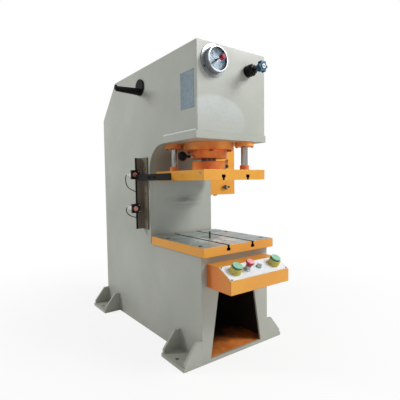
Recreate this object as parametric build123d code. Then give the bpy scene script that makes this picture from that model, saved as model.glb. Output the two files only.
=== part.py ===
from build123d import *
import math
import os

# A free-standing C-frame hydraulic press. Sizes are in millimetres. X runs across the press,
# Y from its front to its back and Z up. The origin is on the floor, at the centre of the
# four anchor bolts.

# Clearances
running_clearance = 0.05
seated_clearance = 0.1
slide_gap = 0.3
door_gap = 0.5

# Welded frame
body_width = 492
body_depth = 1273
body_height = 1700
side_plate_thickness = 16
front_plate_thickness = 12
cover_plate_thickness = 12
throat_plate_thickness = 16
bed_plate_thickness = 25
head_setback = 15
throat_depth = 521
throat_radius = 160
rear_slope = 242
head_underside = 1200
head_base_thickness = 40
head_base_overhang = 10
head_base_length = 339
head_base_tongue = 118

# Chute in the lower front
sill_height = 20
opening_height = 420
opening_half_width_low = 190
opening_half_width_high = 121
chute_sheet = 5
chute_depth = 500
chute_riser_height = 460

# Rear service cover
rear_plate_thickness = 10
rear_cover_width = 400
rear_cover_height = 720
rear_cover_bottom = 240
rear_cover_sheet = 2
rear_cover_lap = 20
louvre_length = 130
louvre_pitch = 60
louvre_rows = 6
louvre_height = 18
louvre_depth = 11

# Feet
foot_length = 225
foot_reach = 120
foot_thickness = 20
anchor_hole_diameter = 22
anchor_edge_distance = 34
gusset_thickness = 16
gusset_height = 112
gusset_top_length = 38
gusset_tip_height = 20
gusset_setback = 8

# Lifting pegs
peg_height = 1585
peg_guard_radius = 52
peg_guard_thickness = 10
peg_drop = 28
peg_root_radius = 23
peg_tip_radius = 16
peg_length = 165
peg_keeper_radius = 16
peg_keeper_thickness = 8
peg_keeper_lift = 8

# Table
table_top = 632
table_thickness = 50
table_width = 514
table_length = 547
table_overhang = 38
table_screw_x = 228
table_screw_front = 69
table_screw_pitch = 325
table_screw_radius = 8
table_screw_head_radius = 16.5
table_screw_sunk = 1
table_screw_short = 3
table_screw_socket_flats = 10
table_screw_socket_depth = 8
plug_radius = 60
plug_thickness = 15
knockout_radius = 45
locating_pin_radius = 5
locating_pin_height = 42
locating_pin_offset = (-30, -40)

# Slots for T-bolts, the same in the table and the ram plate
slot_spacing = 180
slot_neck_width = 14
slot_head_width = 26
table_slot_neck_depth = 16
table_slot_head_depth = 16
ram_slot_neck_depth = 13
ram_slot_head_depth = 17

# Ram
ram_axis_from_front = 241
daylight = 348
stroke = 250
ram_plate_width = 452
ram_plate_length = 490
ram_plate_thickness = 57
ram_boss_radius = 100
ram_boss_height = 55
rod_radius = 45

# Hydraulic cylinder
cylinder_bore_radius = 75
cylinder_wall = 25
cylinder_flange_radius = 150
cylinder_flange_thickness = 42
cylinder_cap_thickness = 35
gland_radius = 110
gland_height = 48
gland_spigot_height = 40
piston_height = 60
piston_end_gap = 15
seal_depth = 5
seal_height = 8
seal_inset = 6
cylinder_bolt_count = 6
cylinder_bolt_circle = 262
cylinder_bolt_radius = 8
cylinder_bolt_depth = 30
cylinder_bolt_head_flats = 24
cylinder_bolt_head_height = 11

# Guide rods, one behind the cylinder on the left and one before it on the right
guide_rod_radius = 20
guide_front_inset = 81
guide_reach = 215.9
guide_rod_top = 1560
guide_rod_seat = 30
guide_flange_radius = 55
guide_flange_thickness = 25
guide_sleeve_radius = 35
guide_sleeve_height = 90
guide_bush_wall = 5
guide_bolt_circle = 92
guide_bolt_radius = 4
guide_bolt_depth = 20
guide_bolt_head_flats = 13
guide_bolt_head_height = 6
collar_radius = 27.5
collar_height = 29

# Locking plunger with a ball knob, screwed into the gland
plunger_height = 1120
plunger_pin_radius = 6
plunger_tip_gap = 2
plunger_neck_radius = 8
plunger_knob_seat = 4
plunger_sleeve_radius = 9.5
plunger_sleeve_length = 28
plunger_neck_length = 30
plunger_knob_radius = 27

# Two-hand control box
panel_width = 424
panel_bottom = 417
panel_height = 122.5
panel_depth = 193
panel_flat_depth = 94
panel_front_height = 67
panel_sheet = 3
panel_rim = 14
panel_face_thickness = 2.5
panel_face_margin = 5
panel_button_x = {"palm_left": -142, "stop": -58, "selector": 28, "palm_right": 142}
panel_button_from_top = 56
palm_ring_radius = 31
palm_ring_height = 33
palm_cap_radius = 26
palm_cap_height = 44
palm_cap_skirt = 22
palm_travel = 6
button_neck_radius = 11
button_neck_length = 14
button_stem_radius = 7
stop_base_radius = 15
stop_base_height = 29
stop_head_radius = 23
stop_head_bottom = 35
stop_head_top = 59
selector_base_radius = 15
selector_base_height = 6
selector_knob_radius = 12
selector_knob_height = 14
selector_grip = (27, 8, 13)

# Pressure gauge in the head
gauge_x = -136
gauge_z = 1607
gauge_flange_radius = 85.5
gauge_flange_thickness = 4
gauge_case_radius = 68.5
gauge_case_front = 42
gauge_case_behind = 52
gauge_wall = 3
gauge_bezel_width = 9
gauge_glass_thickness = 3
gauge_glass_depth = 5
gauge_dial_depth = 16
gauge_dial_thickness = 1.5
gauge_screw_circle = 152
gauge_screw_radius = 2.5
gauge_knob_radius = 13.5
gauge_knob_length = 26
gauge_knob_stand_off = 20
gauge_spindle_radius = 4
gauge_pointer_length = 46
gauge_pointer_tail = 14
gauge_zero_angle = 130
gauge_hub_radius = 6
gauge_pointer_thickness = 1.5

# Pressure-setting valve in the head
valve_x = 112
valve_z = 1592
valve_body_radius = 33
valve_body_length = 46
valve_neck_radius = 18
valve_neck_length = 22
valve_thread_radius = 20
valve_inside_length = 40
valve_spindle_radius = 6
handwheel_stand_off = 100
handwheel_thickness = 22
handwheel_rim_radius = 25
handwheel_lobe_radius = 7
handwheel_lobes = 6
handwheel_hub_radius = 13
handwheel_hub_height = 3

# Stroke sensors on the left side
sensor_bracket_bottom = 670
sensor_bracket_top = 1130
sensor_bracket_back = -0.5
sensor_bracket_leg = 80
sensor_bracket_reach = 44
sensor_bracket_thickness = 8
sensor_rail_width = 8
sensor_rail_depth = 10
sensor_axis_reach = 71
sensor_heights = (1022, 806)
sensor_radius = 15
sensor_face_y = -42
sensor_length = 92
sensor_tail_radius = 9
sensor_tail_length = 14
sensor_block_height = 58
sensor_block_half_width = 19
sensor_block_front = -36
sensor_block_depth = 22
sensor_jaw = 5
sensor_jaw_reach = 14
sensor_lead_radius = 3
lead_bend_share = 0.45
gland_hole_radius = 8
gland_behind_bracket = 28
gland_drops = (110, 66)
gland_hex_flats = 22
gland_hex_height = 9
gland_thread_length = 24
floor_gland_flats = 28
floor_gland_height = 14
floor_gland_thread_length = 12
floor_gland_spacing = 60
wiring_exit_drop = 70

# Pointer bar on the ram plate
pointer_height = 39
pointer_thickness = 12
pointer_centre_above_ram = 22.5
pointer_front = -448.5
pointer_sensor_gap = 4
pointer_block_start = -310
pointer_block_length = 140
pointer_block_height = 34

# Electrical cabinet on the right side
cabinet_width = 229
cabinet_depth = 340
cabinet_bottom = 875
cabinet_height = 520
cabinet_sheet = 2
cabinet_lip = 15
cabinet_door_depth = 14
hinge_stand_off = 5.5
hinge_radius = 5
hinge_pin_radius = 2.5
hinge_length = 50
hinge_inset = 60
latch_x = 381
latch_above_bottom = 54
latch_hub_radius = 14
latch_hub_height = 8
latch_bar = (60, 13, 13)
latch_spindle_radius = 5
latch_cam = (16, 3, 52)
isolator_x = 396
isolator_z = 1081
isolator_hub_radius = 12
isolator_hub_height = 14
isolator_spindle_radius = 4
isolator_spindle_length = 14
isolator_lever_radius = 3
isolator_lever_length = 44
isolator_ball_radius = 8

# Power unit inside the frame
tank_width = 380
tank_length = 460
tank_height = 380
tank_floor = 60
tank_wall = 4
tank_top_thickness = 12
tank_y = 340
tank_rail = (40, 60)
motor_y = 430
motor_radius = 90
motor_length = 260
motor_flange_radius = 110
motor_flange_thickness = 15
motor_wall = 14
motor_shaft_radius = 14
rotor_radius = 73
motor_fin_count = 16
motor_fin = (8, 4)
coupling_radius = 30
coupling_length = 60
pump_radius = 45
pump_length = 110
pump_depth = 40
pump_shaft_radius = 12
pump_well_gap = 8
bell_gap = 2
pump_neck_radius = 35
manifold = (120, 90, 110)
manifold_y = 190
solenoid_valve = (80, 50, 60)
solenoid_radius = 22
solenoid_length = 70
pipe_radius = 9
pipe_bend_radius = 45
pipe_riser_offset = 80
pipe_port_run = 130
port_radius = 16
port_length = 18

# Places worked out from the sizes above
half_width = body_width / 2
inner_half_width = half_width - side_plate_thickness
front_y = -body_depth / 2
back_y = body_depth / 2
head_y = front_y + head_setback
throat_y = head_y + throat_depth
bed_top = table_top - table_thickness
bed_bottom = bed_top - bed_plate_thickness
ram_y = front_y + ram_axis_from_front
ram_bottom = table_top + daylight
ram_top = ram_bottom + ram_plate_thickness
boss_top = ram_top + ram_boss_height
flange_bottom = head_underside - cylinder_flange_thickness
gland_bottom = flange_bottom - gland_height
head_base_top = head_underside + head_base_thickness
head_base_back = head_y + head_base_length
anchor_y = body_depth / 2 - foot_length / 2
piston_bottom = flange_bottom + gland_spigot_height + piston_end_gap + stroke
piston_top = piston_bottom + piston_height
barrel_top = piston_top + piston_end_gap + cylinder_cap_thickness
guide_offset_y = ram_axis_from_front - guide_front_inset
guide_offset_x = math.sqrt(guide_reach**2 - guide_offset_y**2)
guides = [
    (-guide_offset_x, ram_y + guide_offset_y),
    (guide_offset_x, ram_y - guide_offset_y),
]
panel_front = front_y - panel_depth
panel_top = panel_bottom + panel_height
slope_run = panel_depth - panel_flat_depth
slope_drop = panel_height - panel_front_height
slope_angle = math.atan2(slope_drop, slope_run)
slope_length = math.hypot(slope_run, slope_drop)
sensor_x = -half_width - sensor_axis_reach
cabinet_front = throat_y + cabinet_door_depth + door_gap
cabinet_right = half_width + cabinet_width
hinge_x = cabinet_right + hinge_stand_off
hinge_y = throat_y + cabinet_door_depth + door_gap / 2


def block(x_range, y_range, z_range):
    """Box between two corners, given as a low and a high value on each axis."""
    size = [high - low for low, high in (x_range, y_range, z_range)]
    corner = (x_range[0], y_range[0], z_range[0])
    return Pos(*corner) * Box(*size, align=(Align.MIN, Align.MIN, Align.MIN))


def upright(radius, z_range, x=0, y=0):
    """Upright cylinder between two heights."""
    height = z_range[1] - z_range[0]
    base = (Align.CENTER, Align.CENTER, Align.MIN)
    return Pos(x, y, z_range[0]) * Cylinder(radius, height, align=base)


def bar(start, end, radius):
    """Round bar from one point to another."""
    along = Vector(*end) - Vector(*start)
    base = (Align.CENTER, Align.CENTER, Align.MIN)
    return Plane(origin=start, z_dir=along) * Cylinder(radius, along.length, align=base)


def turned(profile, plane=Plane.XY):
    """Turned solid from (radius, height) points, about the plane's own normal."""
    outline = Polyline(*[(radius, 0, height) for radius, height in profile], close=True)
    return plane * revolve(make_face(outline), Axis.Z)


def ring(outer, inner, z_range, x=0, y=0):
    """Upright tube."""
    low, high = z_range
    profile = [(inner, low), (outer, low), (outer, high), (inner, high)]
    return turned(profile, Plane(origin=(x, y, 0)))


def hexagon(flats, height, plane):
    """Hexagonal prism standing on a plane, from its width across flats."""
    sketch = RegularPolygon(flats / 2, 6, major_radius=False)
    return plane * extrude(sketch, height)


def side_slab(points, x_range):
    """Plate cut from (Y, Z) points and thick along X."""
    face = make_face(Plane.YZ * Polyline(*points, close=True))
    return Pos(x_range[0], 0, 0) * extrude(face, x_range[1] - x_range[0], dir=(1, 0, 0))


def front_plane(x, y, z):
    """Plane whose normal points to the front, for what stands out of the head or the door."""
    return Plane(origin=(x, y, z), x_dir=(1, 0, 0), z_dir=(0, -1, 0))


def slope_plane(x, lift=0):
    """Plane on the sloping face of the control box, at the row of buttons."""
    along = panel_button_from_top
    y = front_y - panel_flat_depth - along * math.cos(slope_angle)
    z = panel_top - along * math.sin(slope_angle)
    normal = (0, -math.sin(slope_angle), math.cos(slope_angle))
    on_face = Vector(x, y, z) + Vector(*normal) * lift
    return Plane(origin=on_face, x_dir=(1, 0, 0), z_dir=normal)


def throat_line(offset=0):
    """Rolled line of the throat, from the bed to the head, set back by an offset."""
    centre = (throat_y - throat_radius, head_underside - throat_radius)
    radius = throat_radius + offset
    diagonal = radius * math.sqrt(0.5)
    foot = (throat_y + offset, bed_bottom)
    tangent_low = (throat_y + offset, centre[1])
    middle = (centre[0] + diagonal, centre[1] + diagonal)
    tangent_high = (centre[0], head_underside + offset)
    nose = (head_base_back, head_underside + offset)
    wall = Line(foot, tangent_low)
    bend = ThreePointArc(tangent_low, middle, tangent_high)
    return [wall, bend, Line(tangent_high, nose)], foot, nose


def side_plate(x_low):
    """Flame-cut side plate with the C of the throat."""
    line, foot, nose = throat_line()
    rest = Polyline(
        nose,
        (head_base_back, head_base_top),
        (head_y + front_plate_thickness, head_base_top),
        (head_y + front_plate_thickness, body_height),
        (back_y - rear_slope, body_height),
        (back_y, body_height - rear_slope),
        (back_y, 0),
        (front_y + front_plate_thickness, 0),
        (front_y + front_plate_thickness, bed_bottom),
        foot,
    )
    face = Plane.YZ * make_face(line + rest.edges())
    return Pos(x_low, 0, 0) * extrude(face, side_plate_thickness, dir=(1, 0, 0))


def side_plate_left():
    plate = side_plate(-half_width)
    for height, drop in zip(sensor_heights, gland_drops):
        y, z = lead_entry(height, drop)
        plate -= bar((-half_width - 1, y, z), (-inner_half_width + 1, y, z), gland_hole_radius)
    return plate


def side_plate_right():
    y, z = wiring_exit()
    hole = bar((inner_half_width - 1, y, z), (half_width + 1, y, z), gland_hole_radius)
    return side_plate(inner_half_width) - hole


def head_front_plate():
    """Front of the head, with the holes for the gauge and the valve."""
    y_range = (head_y, head_y + front_plate_thickness)
    plate = block((-half_width, half_width), y_range, (head_base_top, body_height))
    before = head_y - 1
    behind = head_y + front_plate_thickness + 1
    for x, z, radius in (
        (gauge_x, gauge_z, gauge_case_radius + seated_clearance),
        (valve_x, valve_z, valve_thread_radius + seated_clearance),
    ):
        plate -= bar((x, before, z), (x, behind, z), radius)
    return plate


def head_base_plate():
    """Thick plate under the head that carries the cylinder and the guides."""
    half = half_width + head_base_overhang
    levels = (head_underside, head_base_top)
    plate = block((-half, half), (head_y, head_base_back), levels)
    tongue = (head_base_back, head_base_back + head_base_tongue)
    plate += block((-inner_half_width, inner_half_width), tongue, levels)
    through = (head_underside - 1, head_base_top + 1)
    barrel = cylinder_bore_radius + cylinder_wall + seated_clearance
    plate -= upright(barrel, through, 0, ram_y)
    for x, y in guides:
        plate -= upright(guide_sleeve_radius + seated_clearance, through, x, y)
    for x, y in cylinder_bolt_places():
        depth = (head_underside - 1, head_underside + cylinder_bolt_depth)
        plate -= upright(cylinder_bolt_radius + running_clearance, depth, x, y)
    for x, y in guide_bolt_places():
        depth = (head_underside - 1, head_underside + guide_bolt_depth)
        plate -= upright(guide_bolt_radius + running_clearance, depth, x, y)
    return plate


def throat_plate():
    """Rolled plate that closes the throat, up to the head's base plate."""
    front_line, front_foot, front_nose = throat_line()
    back_line, back_foot, back_nose = throat_line(throat_plate_thickness)
    ends = [Line(front_foot, back_foot), Line(front_nose, back_nose)]
    face = Plane.YZ * make_face(front_line + back_line + ends)
    plate = extrude(face, 2 * inner_half_width, dir=(1, 0, 0))
    plate = Pos(-inner_half_width, 0, 0) * plate
    above = (head_underside, body_height)
    plate -= block((-half_width, half_width), (head_y, back_y), above)
    x, y = guides[0]
    around_head = (gland_bottom, body_height)
    plate -= upright(guide_flange_radius + slide_gap, around_head, x, y)
    return plate - upright(cylinder_flange_radius + slide_gap, around_head, 0, ram_y)


def top_plate():
    """Top of the frame, bent down along the sloping rear corner."""
    bend = cover_plate_thickness * math.tan(math.pi / 8)
    slope_foot = cover_plate_thickness * math.sqrt(2)
    points = [
        (head_y + front_plate_thickness, body_height),
        (back_y - rear_slope, body_height),
        (back_y, body_height - rear_slope),
        (back_y - slope_foot, body_height - rear_slope),
        (back_y - rear_slope - bend, body_height - cover_plate_thickness),
        (head_y + front_plate_thickness, body_height - cover_plate_thickness),
    ]
    return side_slab(points, (-inner_half_width, inner_half_width))


def rear_plate():
    """Back of the frame, with the service opening."""
    y_range = (back_y - rear_plate_thickness, back_y)
    z_top = body_height - rear_slope
    plate = block((-inner_half_width, inner_half_width), y_range, (0, z_top))
    half = rear_cover_width / 2 - rear_cover_lap
    low = rear_cover_bottom + rear_cover_lap
    high = rear_cover_bottom + rear_cover_height - rear_cover_lap
    return plate - block((-half, half), (y_range[0] - 1, back_y + 1), (low, high))


def rear_cover():
    """Sheet cover over the service opening, with two columns of pressed louvres."""
    half = rear_cover_width / 2
    y_back = back_y + rear_cover_sheet
    z_range = (rear_cover_bottom, rear_cover_bottom + rear_cover_height)
    cover = block((-half, half), (back_y, y_back), z_range)
    middle = sum(z_range) / 2
    slot_height = louvre_height / 2
    for column in (-1, 1):
        x = column * half / 2
        for row in range(louvre_rows):
            z = middle + (row - (louvre_rows - 1) / 2) * louvre_pitch
            sides = (x - louvre_length / 2, x + louvre_length / 2)
            cover -= block(sides, (back_y - 1, y_back + 1), (z, z + slot_height))
            hood = [
                (back_y, z + louvre_height),
                (y_back + louvre_depth, z),
                (y_back + louvre_depth - rear_cover_sheet, z),
                (back_y, z + louvre_height - rear_cover_sheet * 2),
            ]
            cover += side_slab(hood, sides)
    return cover


def lower_front_plate():
    """Lower front of the frame, with the tapering chute opening."""
    y_range = (front_y, front_y + front_plate_thickness)
    plate = block((-half_width, half_width), y_range, (0, bed_top))
    top = sill_height + opening_height
    outline = Polyline(
        (-opening_half_width_low, 0, sill_height),
        (opening_half_width_low, 0, sill_height),
        (opening_half_width_high, 0, top),
        (-opening_half_width_high, 0, top),
        close=True,
    )
    cutter = extrude(make_face(outline), front_plate_thickness + 2, dir=(0, 1, 0))
    return plate - Pos(0, front_y - 1, 0) * cutter


def bed_plate():
    """Plate that closes the lower body and carries the table."""
    y_range = (front_y + front_plate_thickness, throat_y)
    plate = block((-half_width, half_width), y_range, (bed_bottom, bed_top))
    through = (bed_bottom - 1, bed_top + 1)
    plate -= upright(knockout_radius, through, 0, ram_y)
    for x, y in table_screw_places():
        plate -= upright(table_screw_radius + running_clearance, through, x, y)
    return plate


def chute_floor():
    """One folded sheet: the chute's floor on its two legs, and the riser behind it."""
    half = inner_half_width - seated_clearance
    front = front_y + front_plate_thickness
    back = front + chute_depth
    floor_z = (sill_height - chute_sheet, sill_height)
    floor = block((-half, half), (front, back), floor_z)
    for side in (-half, half - chute_sheet):
        floor += block((side, side + chute_sheet), (front, back), (0, sill_height))
    riser_z = (0, sill_height + chute_riser_height)
    return floor + block((-half, half), (back - chute_sheet, back), riser_z)


def feet():
    """Four anchor feet, each a base plate with two welded gussets."""
    reach = foot_reach
    outline = [
        (0, foot_thickness),
        (0, foot_thickness + gusset_height),
        (gusset_top_length, foot_thickness + gusset_height),
        (reach - gusset_setback, foot_thickness + gusset_tip_height),
        (reach - gusset_setback, foot_thickness),
    ]
    half = foot_length / 2
    base = block((0, reach), (-half, half), (0, foot_thickness))
    hole = (-1, foot_thickness + 1)
    base -= upright(anchor_hole_diameter / 2, hole, reach - anchor_edge_distance, 0)
    rib_face = make_face(Polyline(*[(x, 0, z) for x, z in outline], close=True))
    rib = extrude(rib_face, gusset_thickness, dir=(0, 1, 0))
    foot = base + Pos(0, -half, 0) * rib + Pos(0, half - gusset_thickness, 0) * rib
    mirrored = mirror(foot, Plane.YZ)
    placed = []
    for y in (-anchor_y, anchor_y):
        placed.append(Pos(half_width, y, 0) * foot)
        placed.append(Pos(-half_width, y, 0) * mirrored)
    return placed


def lifting_pegs():
    """Tapered lifting peg on each side, between a guard disc and a small keeper."""
    pegs = []
    for side in (-1, 1):
        wall = Plane(origin=(side * half_width, 0, peg_height), z_dir=(side, 0, 0))
        guard = wall * Cylinder(
            peg_guard_radius, peg_guard_thickness, align=(Align.CENTER, Align.CENTER, Align.MIN)
        )
        root = (side * half_width, 0, peg_height - peg_drop)
        taper = turned(
            [
                (0, peg_guard_thickness / 2),
                (peg_root_radius, peg_guard_thickness / 2),
                (peg_tip_radius, peg_length),
                (0, peg_length),
            ],
            Plane(origin=root, z_dir=(side, 0, 0)),
        )
        end = side * (half_width + peg_length)
        keeper_z = peg_height - peg_drop + peg_keeper_lift
        keeper = bar(
            (end, 0, keeper_z), (end + side * peg_keeper_thickness, 0, keeper_z), peg_keeper_radius
        )
        pegs.append(guard + taper + keeper)
    return pegs


def table_screw_places():
    first = front_y - table_overhang + table_screw_front
    rows = (first, first + table_screw_pitch)
    return [(x, y) for y in rows for x in (-table_screw_x, table_screw_x)]


def slot_cutters(surface, neck, head, down, y_range):
    """Necks and heads of the two T-slots, cut from a surface into the plate."""
    sign = -1 if down else 1
    cutters = []
    for x in (-slot_spacing / 2, slot_spacing / 2):
        for width, start, end in (
            (slot_neck_width, -1, neck + 1),
            (slot_head_width, neck, neck + head),
        ):
            levels = sorted((surface + sign * start, surface + sign * end))
            cutters.append(block((x - width / 2, x + width / 2), y_range, levels))
    return cutters


def table_plate():
    """Ground bolster with two T-slots, a centre recess and four fixing screws."""
    y_front = front_y - table_overhang
    y_range = (y_front, y_front + table_length)
    half = table_width / 2
    plate = block((-half, half), y_range, (bed_top, table_top))
    plate = chamfer(plate.edges().group_by(Axis.Z)[-1], 1.5)
    slots = (y_range[0] - 1, y_range[1] + 1)
    for cutter in slot_cutters(
        table_top, table_slot_neck_depth, table_slot_head_depth, True, slots
    ):
        plate -= cutter
    recess = (table_top - plug_thickness, table_top + 1)
    plate -= upright(plug_radius + seated_clearance, recess, 0, ram_y)
    plate -= upright(knockout_radius, (bed_top - 1, table_top), 0, ram_y)
    head = table_screw_head_radius + seated_clearance
    for x, y in table_screw_places():
        plate -= countersink(x, y, seated_clearance)
        plate -= upright(head, (table_top - table_screw_sunk, table_top + 1), x, y)
    return plate


def countersink(x, y, grow=0):
    """Countersunk screw, grown outwards by a clearance where it cuts its own hole."""
    shank = table_screw_radius + grow
    head = table_screw_head_radius + grow
    rim = table_top - table_screw_sunk
    low = bed_bottom + table_screw_short
    profile = [(0, low), (shank, low), (shank, rim - head + shank), (head, rim), (0, rim)]
    return turned(profile, Plane(origin=(x, y, 0)))


def table_screws():
    """Four countersunk socket screws that hold the table to the bed."""
    screws = []
    for x, y in table_screw_places():
        bottom = Plane(origin=(x, y, table_top - table_screw_sunk - table_screw_socket_depth))
        socket = hexagon(table_screw_socket_flats, table_screw_socket_depth + 1, bottom)
        screws.append(countersink(x, y) - socket)
    return screws


def table_plug():
    """Centre plug of the table, with the upright locating pin screwed into it."""
    plug = upright(plug_radius, (table_top - plug_thickness, table_top), 0, ram_y)
    plug = chamfer(plug.edges().group_by(Axis.Z)[-1], 1)
    x, y = locating_pin_offset
    pin = upright(locating_pin_radius, (table_top, table_top + locating_pin_height), x, ram_y + y)
    pin = chamfer(pin.edges().group_by(Axis.Z)[-1], 1)
    return plug + pin


def cylinder_bolt_places():
    radius = cylinder_bolt_circle / 2
    steps = [2 * math.pi * step / cylinder_bolt_count for step in range(cylinder_bolt_count)]
    return [(radius * math.cos(turn), ram_y + radius * math.sin(turn)) for turn in steps]


def guide_bolt_places():
    radius = guide_bolt_circle / 2
    places = []
    for x, y in guides:
        for quarter in range(4):
            turn = math.pi / 4 + quarter * math.pi / 2
            places.append((x + radius * math.cos(turn), y + radius * math.sin(turn)))
    return places


def cylinder_barrel():
    """Honed barrel with its mounting flange and closed end, and the two oil ports."""
    outer = cylinder_bore_radius + cylinder_wall
    barrel = turned(
        [
            (cylinder_bore_radius, flange_bottom),
            (cylinder_flange_radius - 2, flange_bottom),
            (cylinder_flange_radius, flange_bottom + 2),
            (cylinder_flange_radius, head_underside),
            (outer, head_underside),
            (outer, barrel_top - 3),
            (outer - 3, barrel_top),
            (0, barrel_top),
            (0, barrel_top - cylinder_cap_thickness),
            (cylinder_bore_radius, barrel_top - cylinder_cap_thickness),
        ],
        Plane(origin=(0, ram_y, 0)),
    )
    for x, y in cylinder_bolt_places():
        hole = (flange_bottom - 1, head_underside + 1)
        barrel -= upright(cylinder_bolt_radius + seated_clearance, hole, x, y)
    for _, z in port_places():
        barrel += bar((0, ram_y + outer - 8, z), (0, ram_y + outer + port_length, z), port_radius)
        end = (0, ram_y + outer + port_length + 1, z)
        barrel -= bar((0, ram_y + cylinder_bore_radius - 8, z), end, pipe_radius - 2)
    return barrel


def port_places():
    """Side ports of the barrel: the way of its pipe and its height."""
    low = head_base_top + port_radius + 4
    high = barrel_top - cylinder_cap_thickness - port_radius + 4
    return [(-1, low), (1, high)]


def cylinder_gland():
    """Front gland of the cylinder: guides the rod and takes the locking plunger."""
    bore = rod_radius + running_clearance
    profile = [
        (bore, gland_bottom),
        (gland_radius - 3, gland_bottom),
        (gland_radius, gland_bottom + 3),
        (gland_radius, flange_bottom),
        (cylinder_bore_radius - seated_clearance, flange_bottom),
        (cylinder_bore_radius - seated_clearance, flange_bottom + gland_spigot_height),
        (bore, flange_bottom + gland_spigot_height),
    ]
    gland = turned(profile, Plane(origin=(0, ram_y, 0)))
    for z in seal_heights():
        groove = rod_radius + seal_depth
        levels = (z, z + seal_height)
        gland -= ring(groove, bore - 1, levels, 0, ram_y)
    start = (-rod_radius, ram_y, plunger_height)
    end = (-gland_radius - 1, ram_y, plunger_height)
    return gland - bar(start, end, plunger_pin_radius + running_clearance)


def seal_heights():
    """Undersides of the wiper, just above the plunger, and of the rod seal at the gland's top."""
    wiper = plunger_height + plunger_pin_radius + seal_inset
    return [wiper, flange_bottom + gland_spigot_height - seal_height - seal_inset]


def cylinder_seals():
    """Wiper and rod seal, each in its groove in the gland."""
    inner = rod_radius + running_clearance
    outer = rod_radius + seal_depth
    return [ring(outer, inner, (z, z + seal_height), 0, ram_y) for z in seal_heights()]


def head_bolts():
    """Hexagon bolts of the cylinder flange and of the two guide housings."""
    bolts = []
    groups = (
        (
            cylinder_bolt_places(),
            cylinder_bolt_radius,
            flange_bottom,
            cylinder_bolt_head_flats,
            cylinder_bolt_head_height,
            head_underside + cylinder_bolt_depth,
        ),
        (
            guide_bolt_places(),
            guide_bolt_radius,
            head_underside - guide_flange_thickness,
            guide_bolt_head_flats,
            guide_bolt_head_height,
            head_underside + guide_bolt_depth,
        ),
    )
    for places, radius, seat, flats, head_height, end in groups:
        for x, y in places:
            head = hexagon(flats, head_height, Plane(origin=(x, y, seat - head_height)))
            bolts.append(head + upright(radius, (seat - head_height / 2, end), x, y))
    return bolts


def guide_housings():
    """Flanged guide housings, let into the head's base plate from below."""
    bore = guide_rod_radius + guide_bush_wall + running_clearance
    flange_low = head_underside - guide_flange_thickness
    profile = [
        (bore, flange_low),
        (guide_flange_radius - 2, flange_low),
        (guide_flange_radius, flange_low + 2),
        (guide_flange_radius, head_underside),
        (guide_sleeve_radius, head_underside),
        (guide_sleeve_radius, head_underside + guide_sleeve_height),
        (bore, head_underside + guide_sleeve_height),
    ]
    housings = [turned(profile, Plane(origin=(x, y, 0))) for x, y in guides]
    drilled = []
    for number, housing in enumerate(housings):
        for x, y in guide_bolt_places()[4 * number : 4 * number + 4]:
            hole = (flange_low - 1, head_underside + 1)
            housing -= upright(guide_bolt_radius + seated_clearance, hole, x, y)
        drilled.append(housing)
    return drilled


def guide_bushes():
    """Bronze bushes in the guide housings."""
    outer = guide_rod_radius + guide_bush_wall
    inner = guide_rod_radius + running_clearance
    levels = (head_underside - guide_flange_thickness, head_underside + guide_sleeve_height)
    return [ring(outer, inner, levels, x, y) for x, y in guides]


def piston_rod():
    """Piston rod turned in one with its piston, which has two seal grooves."""
    piston = cylinder_bore_radius - running_clearance
    groove = piston - 6
    low = piston_bottom + 15
    high = piston_top - 23
    profile = [
        (0, ram_top),
        (rod_radius, ram_top),
        (rod_radius, piston_bottom),
        (piston, piston_bottom),
        (piston, low),
        (groove, low),
        (groove, low + 8),
        (piston, low + 8),
        (piston, high),
        (groove, high),
        (groove, high + 8),
        (piston, high + 8),
        (piston, piston_top),
        (0, piston_top),
    ]
    return turned(profile, Plane(origin=(0, ram_y, 0)))


def ram_plate():
    """Ram plate with T-slots that open downwards."""
    half = ram_plate_width / 2
    y_range = (ram_y - ram_plate_length / 2, ram_y + ram_plate_length / 2)
    plate = block((-half, half), y_range, (ram_bottom, ram_top))
    plate = chamfer(plate.edges().group_by(Axis.Z)[-1], 2)
    slots = (y_range[0] - 1, y_range[1] + 1)
    for cutter in slot_cutters(
        ram_bottom, ram_slot_neck_depth, ram_slot_head_depth, False, slots
    ):
        plate -= cutter
    for x, y in guides:
        seat = (ram_top - guide_rod_seat, ram_top + 1)
        plate -= upright(guide_rod_radius + running_clearance, seat, x, y)
    return plate


def ram_bosses():
    """Turned bosses on the ram plate: one for the piston rod, two for the guide rods."""
    bosses = []
    bore = rod_radius + running_clearance
    profile = [
        (bore, ram_top),
        (ram_boss_radius, ram_top),
        (ram_boss_radius, boss_top - 4),
        (ram_boss_radius - 4, boss_top),
        (bore, boss_top),
    ]
    bosses.append(turned(profile, Plane(origin=(0, ram_y, 0))))
    bore = guide_rod_radius + running_clearance
    top = ram_top + collar_height
    for x, y in guides:
        profile = [
            (bore, ram_top),
            (collar_radius, ram_top),
            (collar_radius, top - 2),
            (collar_radius - 2, top),
            (bore, top),
        ]
        bosses.append(turned(profile, Plane(origin=(x, y, 0))))
    return bosses


def guide_rods():
    """Two hard-chromed guide rods, seated in the ram plate."""
    rods = []
    for x, y in guides:
        rod = upright(guide_rod_radius, (ram_top - guide_rod_seat, guide_rod_top), x, y)
        rods.append(chamfer(rod.edges().group_by(Axis.Z)[-1], 2))
    return rods


def pointer_bar():
    """Flat bar that carries the ram's height back to the two sensors."""
    x_inner = sensor_x + sensor_radius + slide_gap
    x_range = (x_inner - pointer_thickness, x_inner)
    centre = ram_bottom + pointer_centre_above_ram
    z_range = (centre - pointer_height / 2, centre + pointer_height / 2)
    flat = block(x_range, (pointer_front, sensor_face_y - pointer_sensor_gap), z_range)
    seat = (x_inner, -ram_plate_width / 2)
    y_range = (pointer_block_start, pointer_block_start + pointer_block_length)
    z_seat = (centre - pointer_block_height / 2, centre + pointer_block_height / 2)
    return flat + block(seat, y_range, z_seat)


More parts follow.
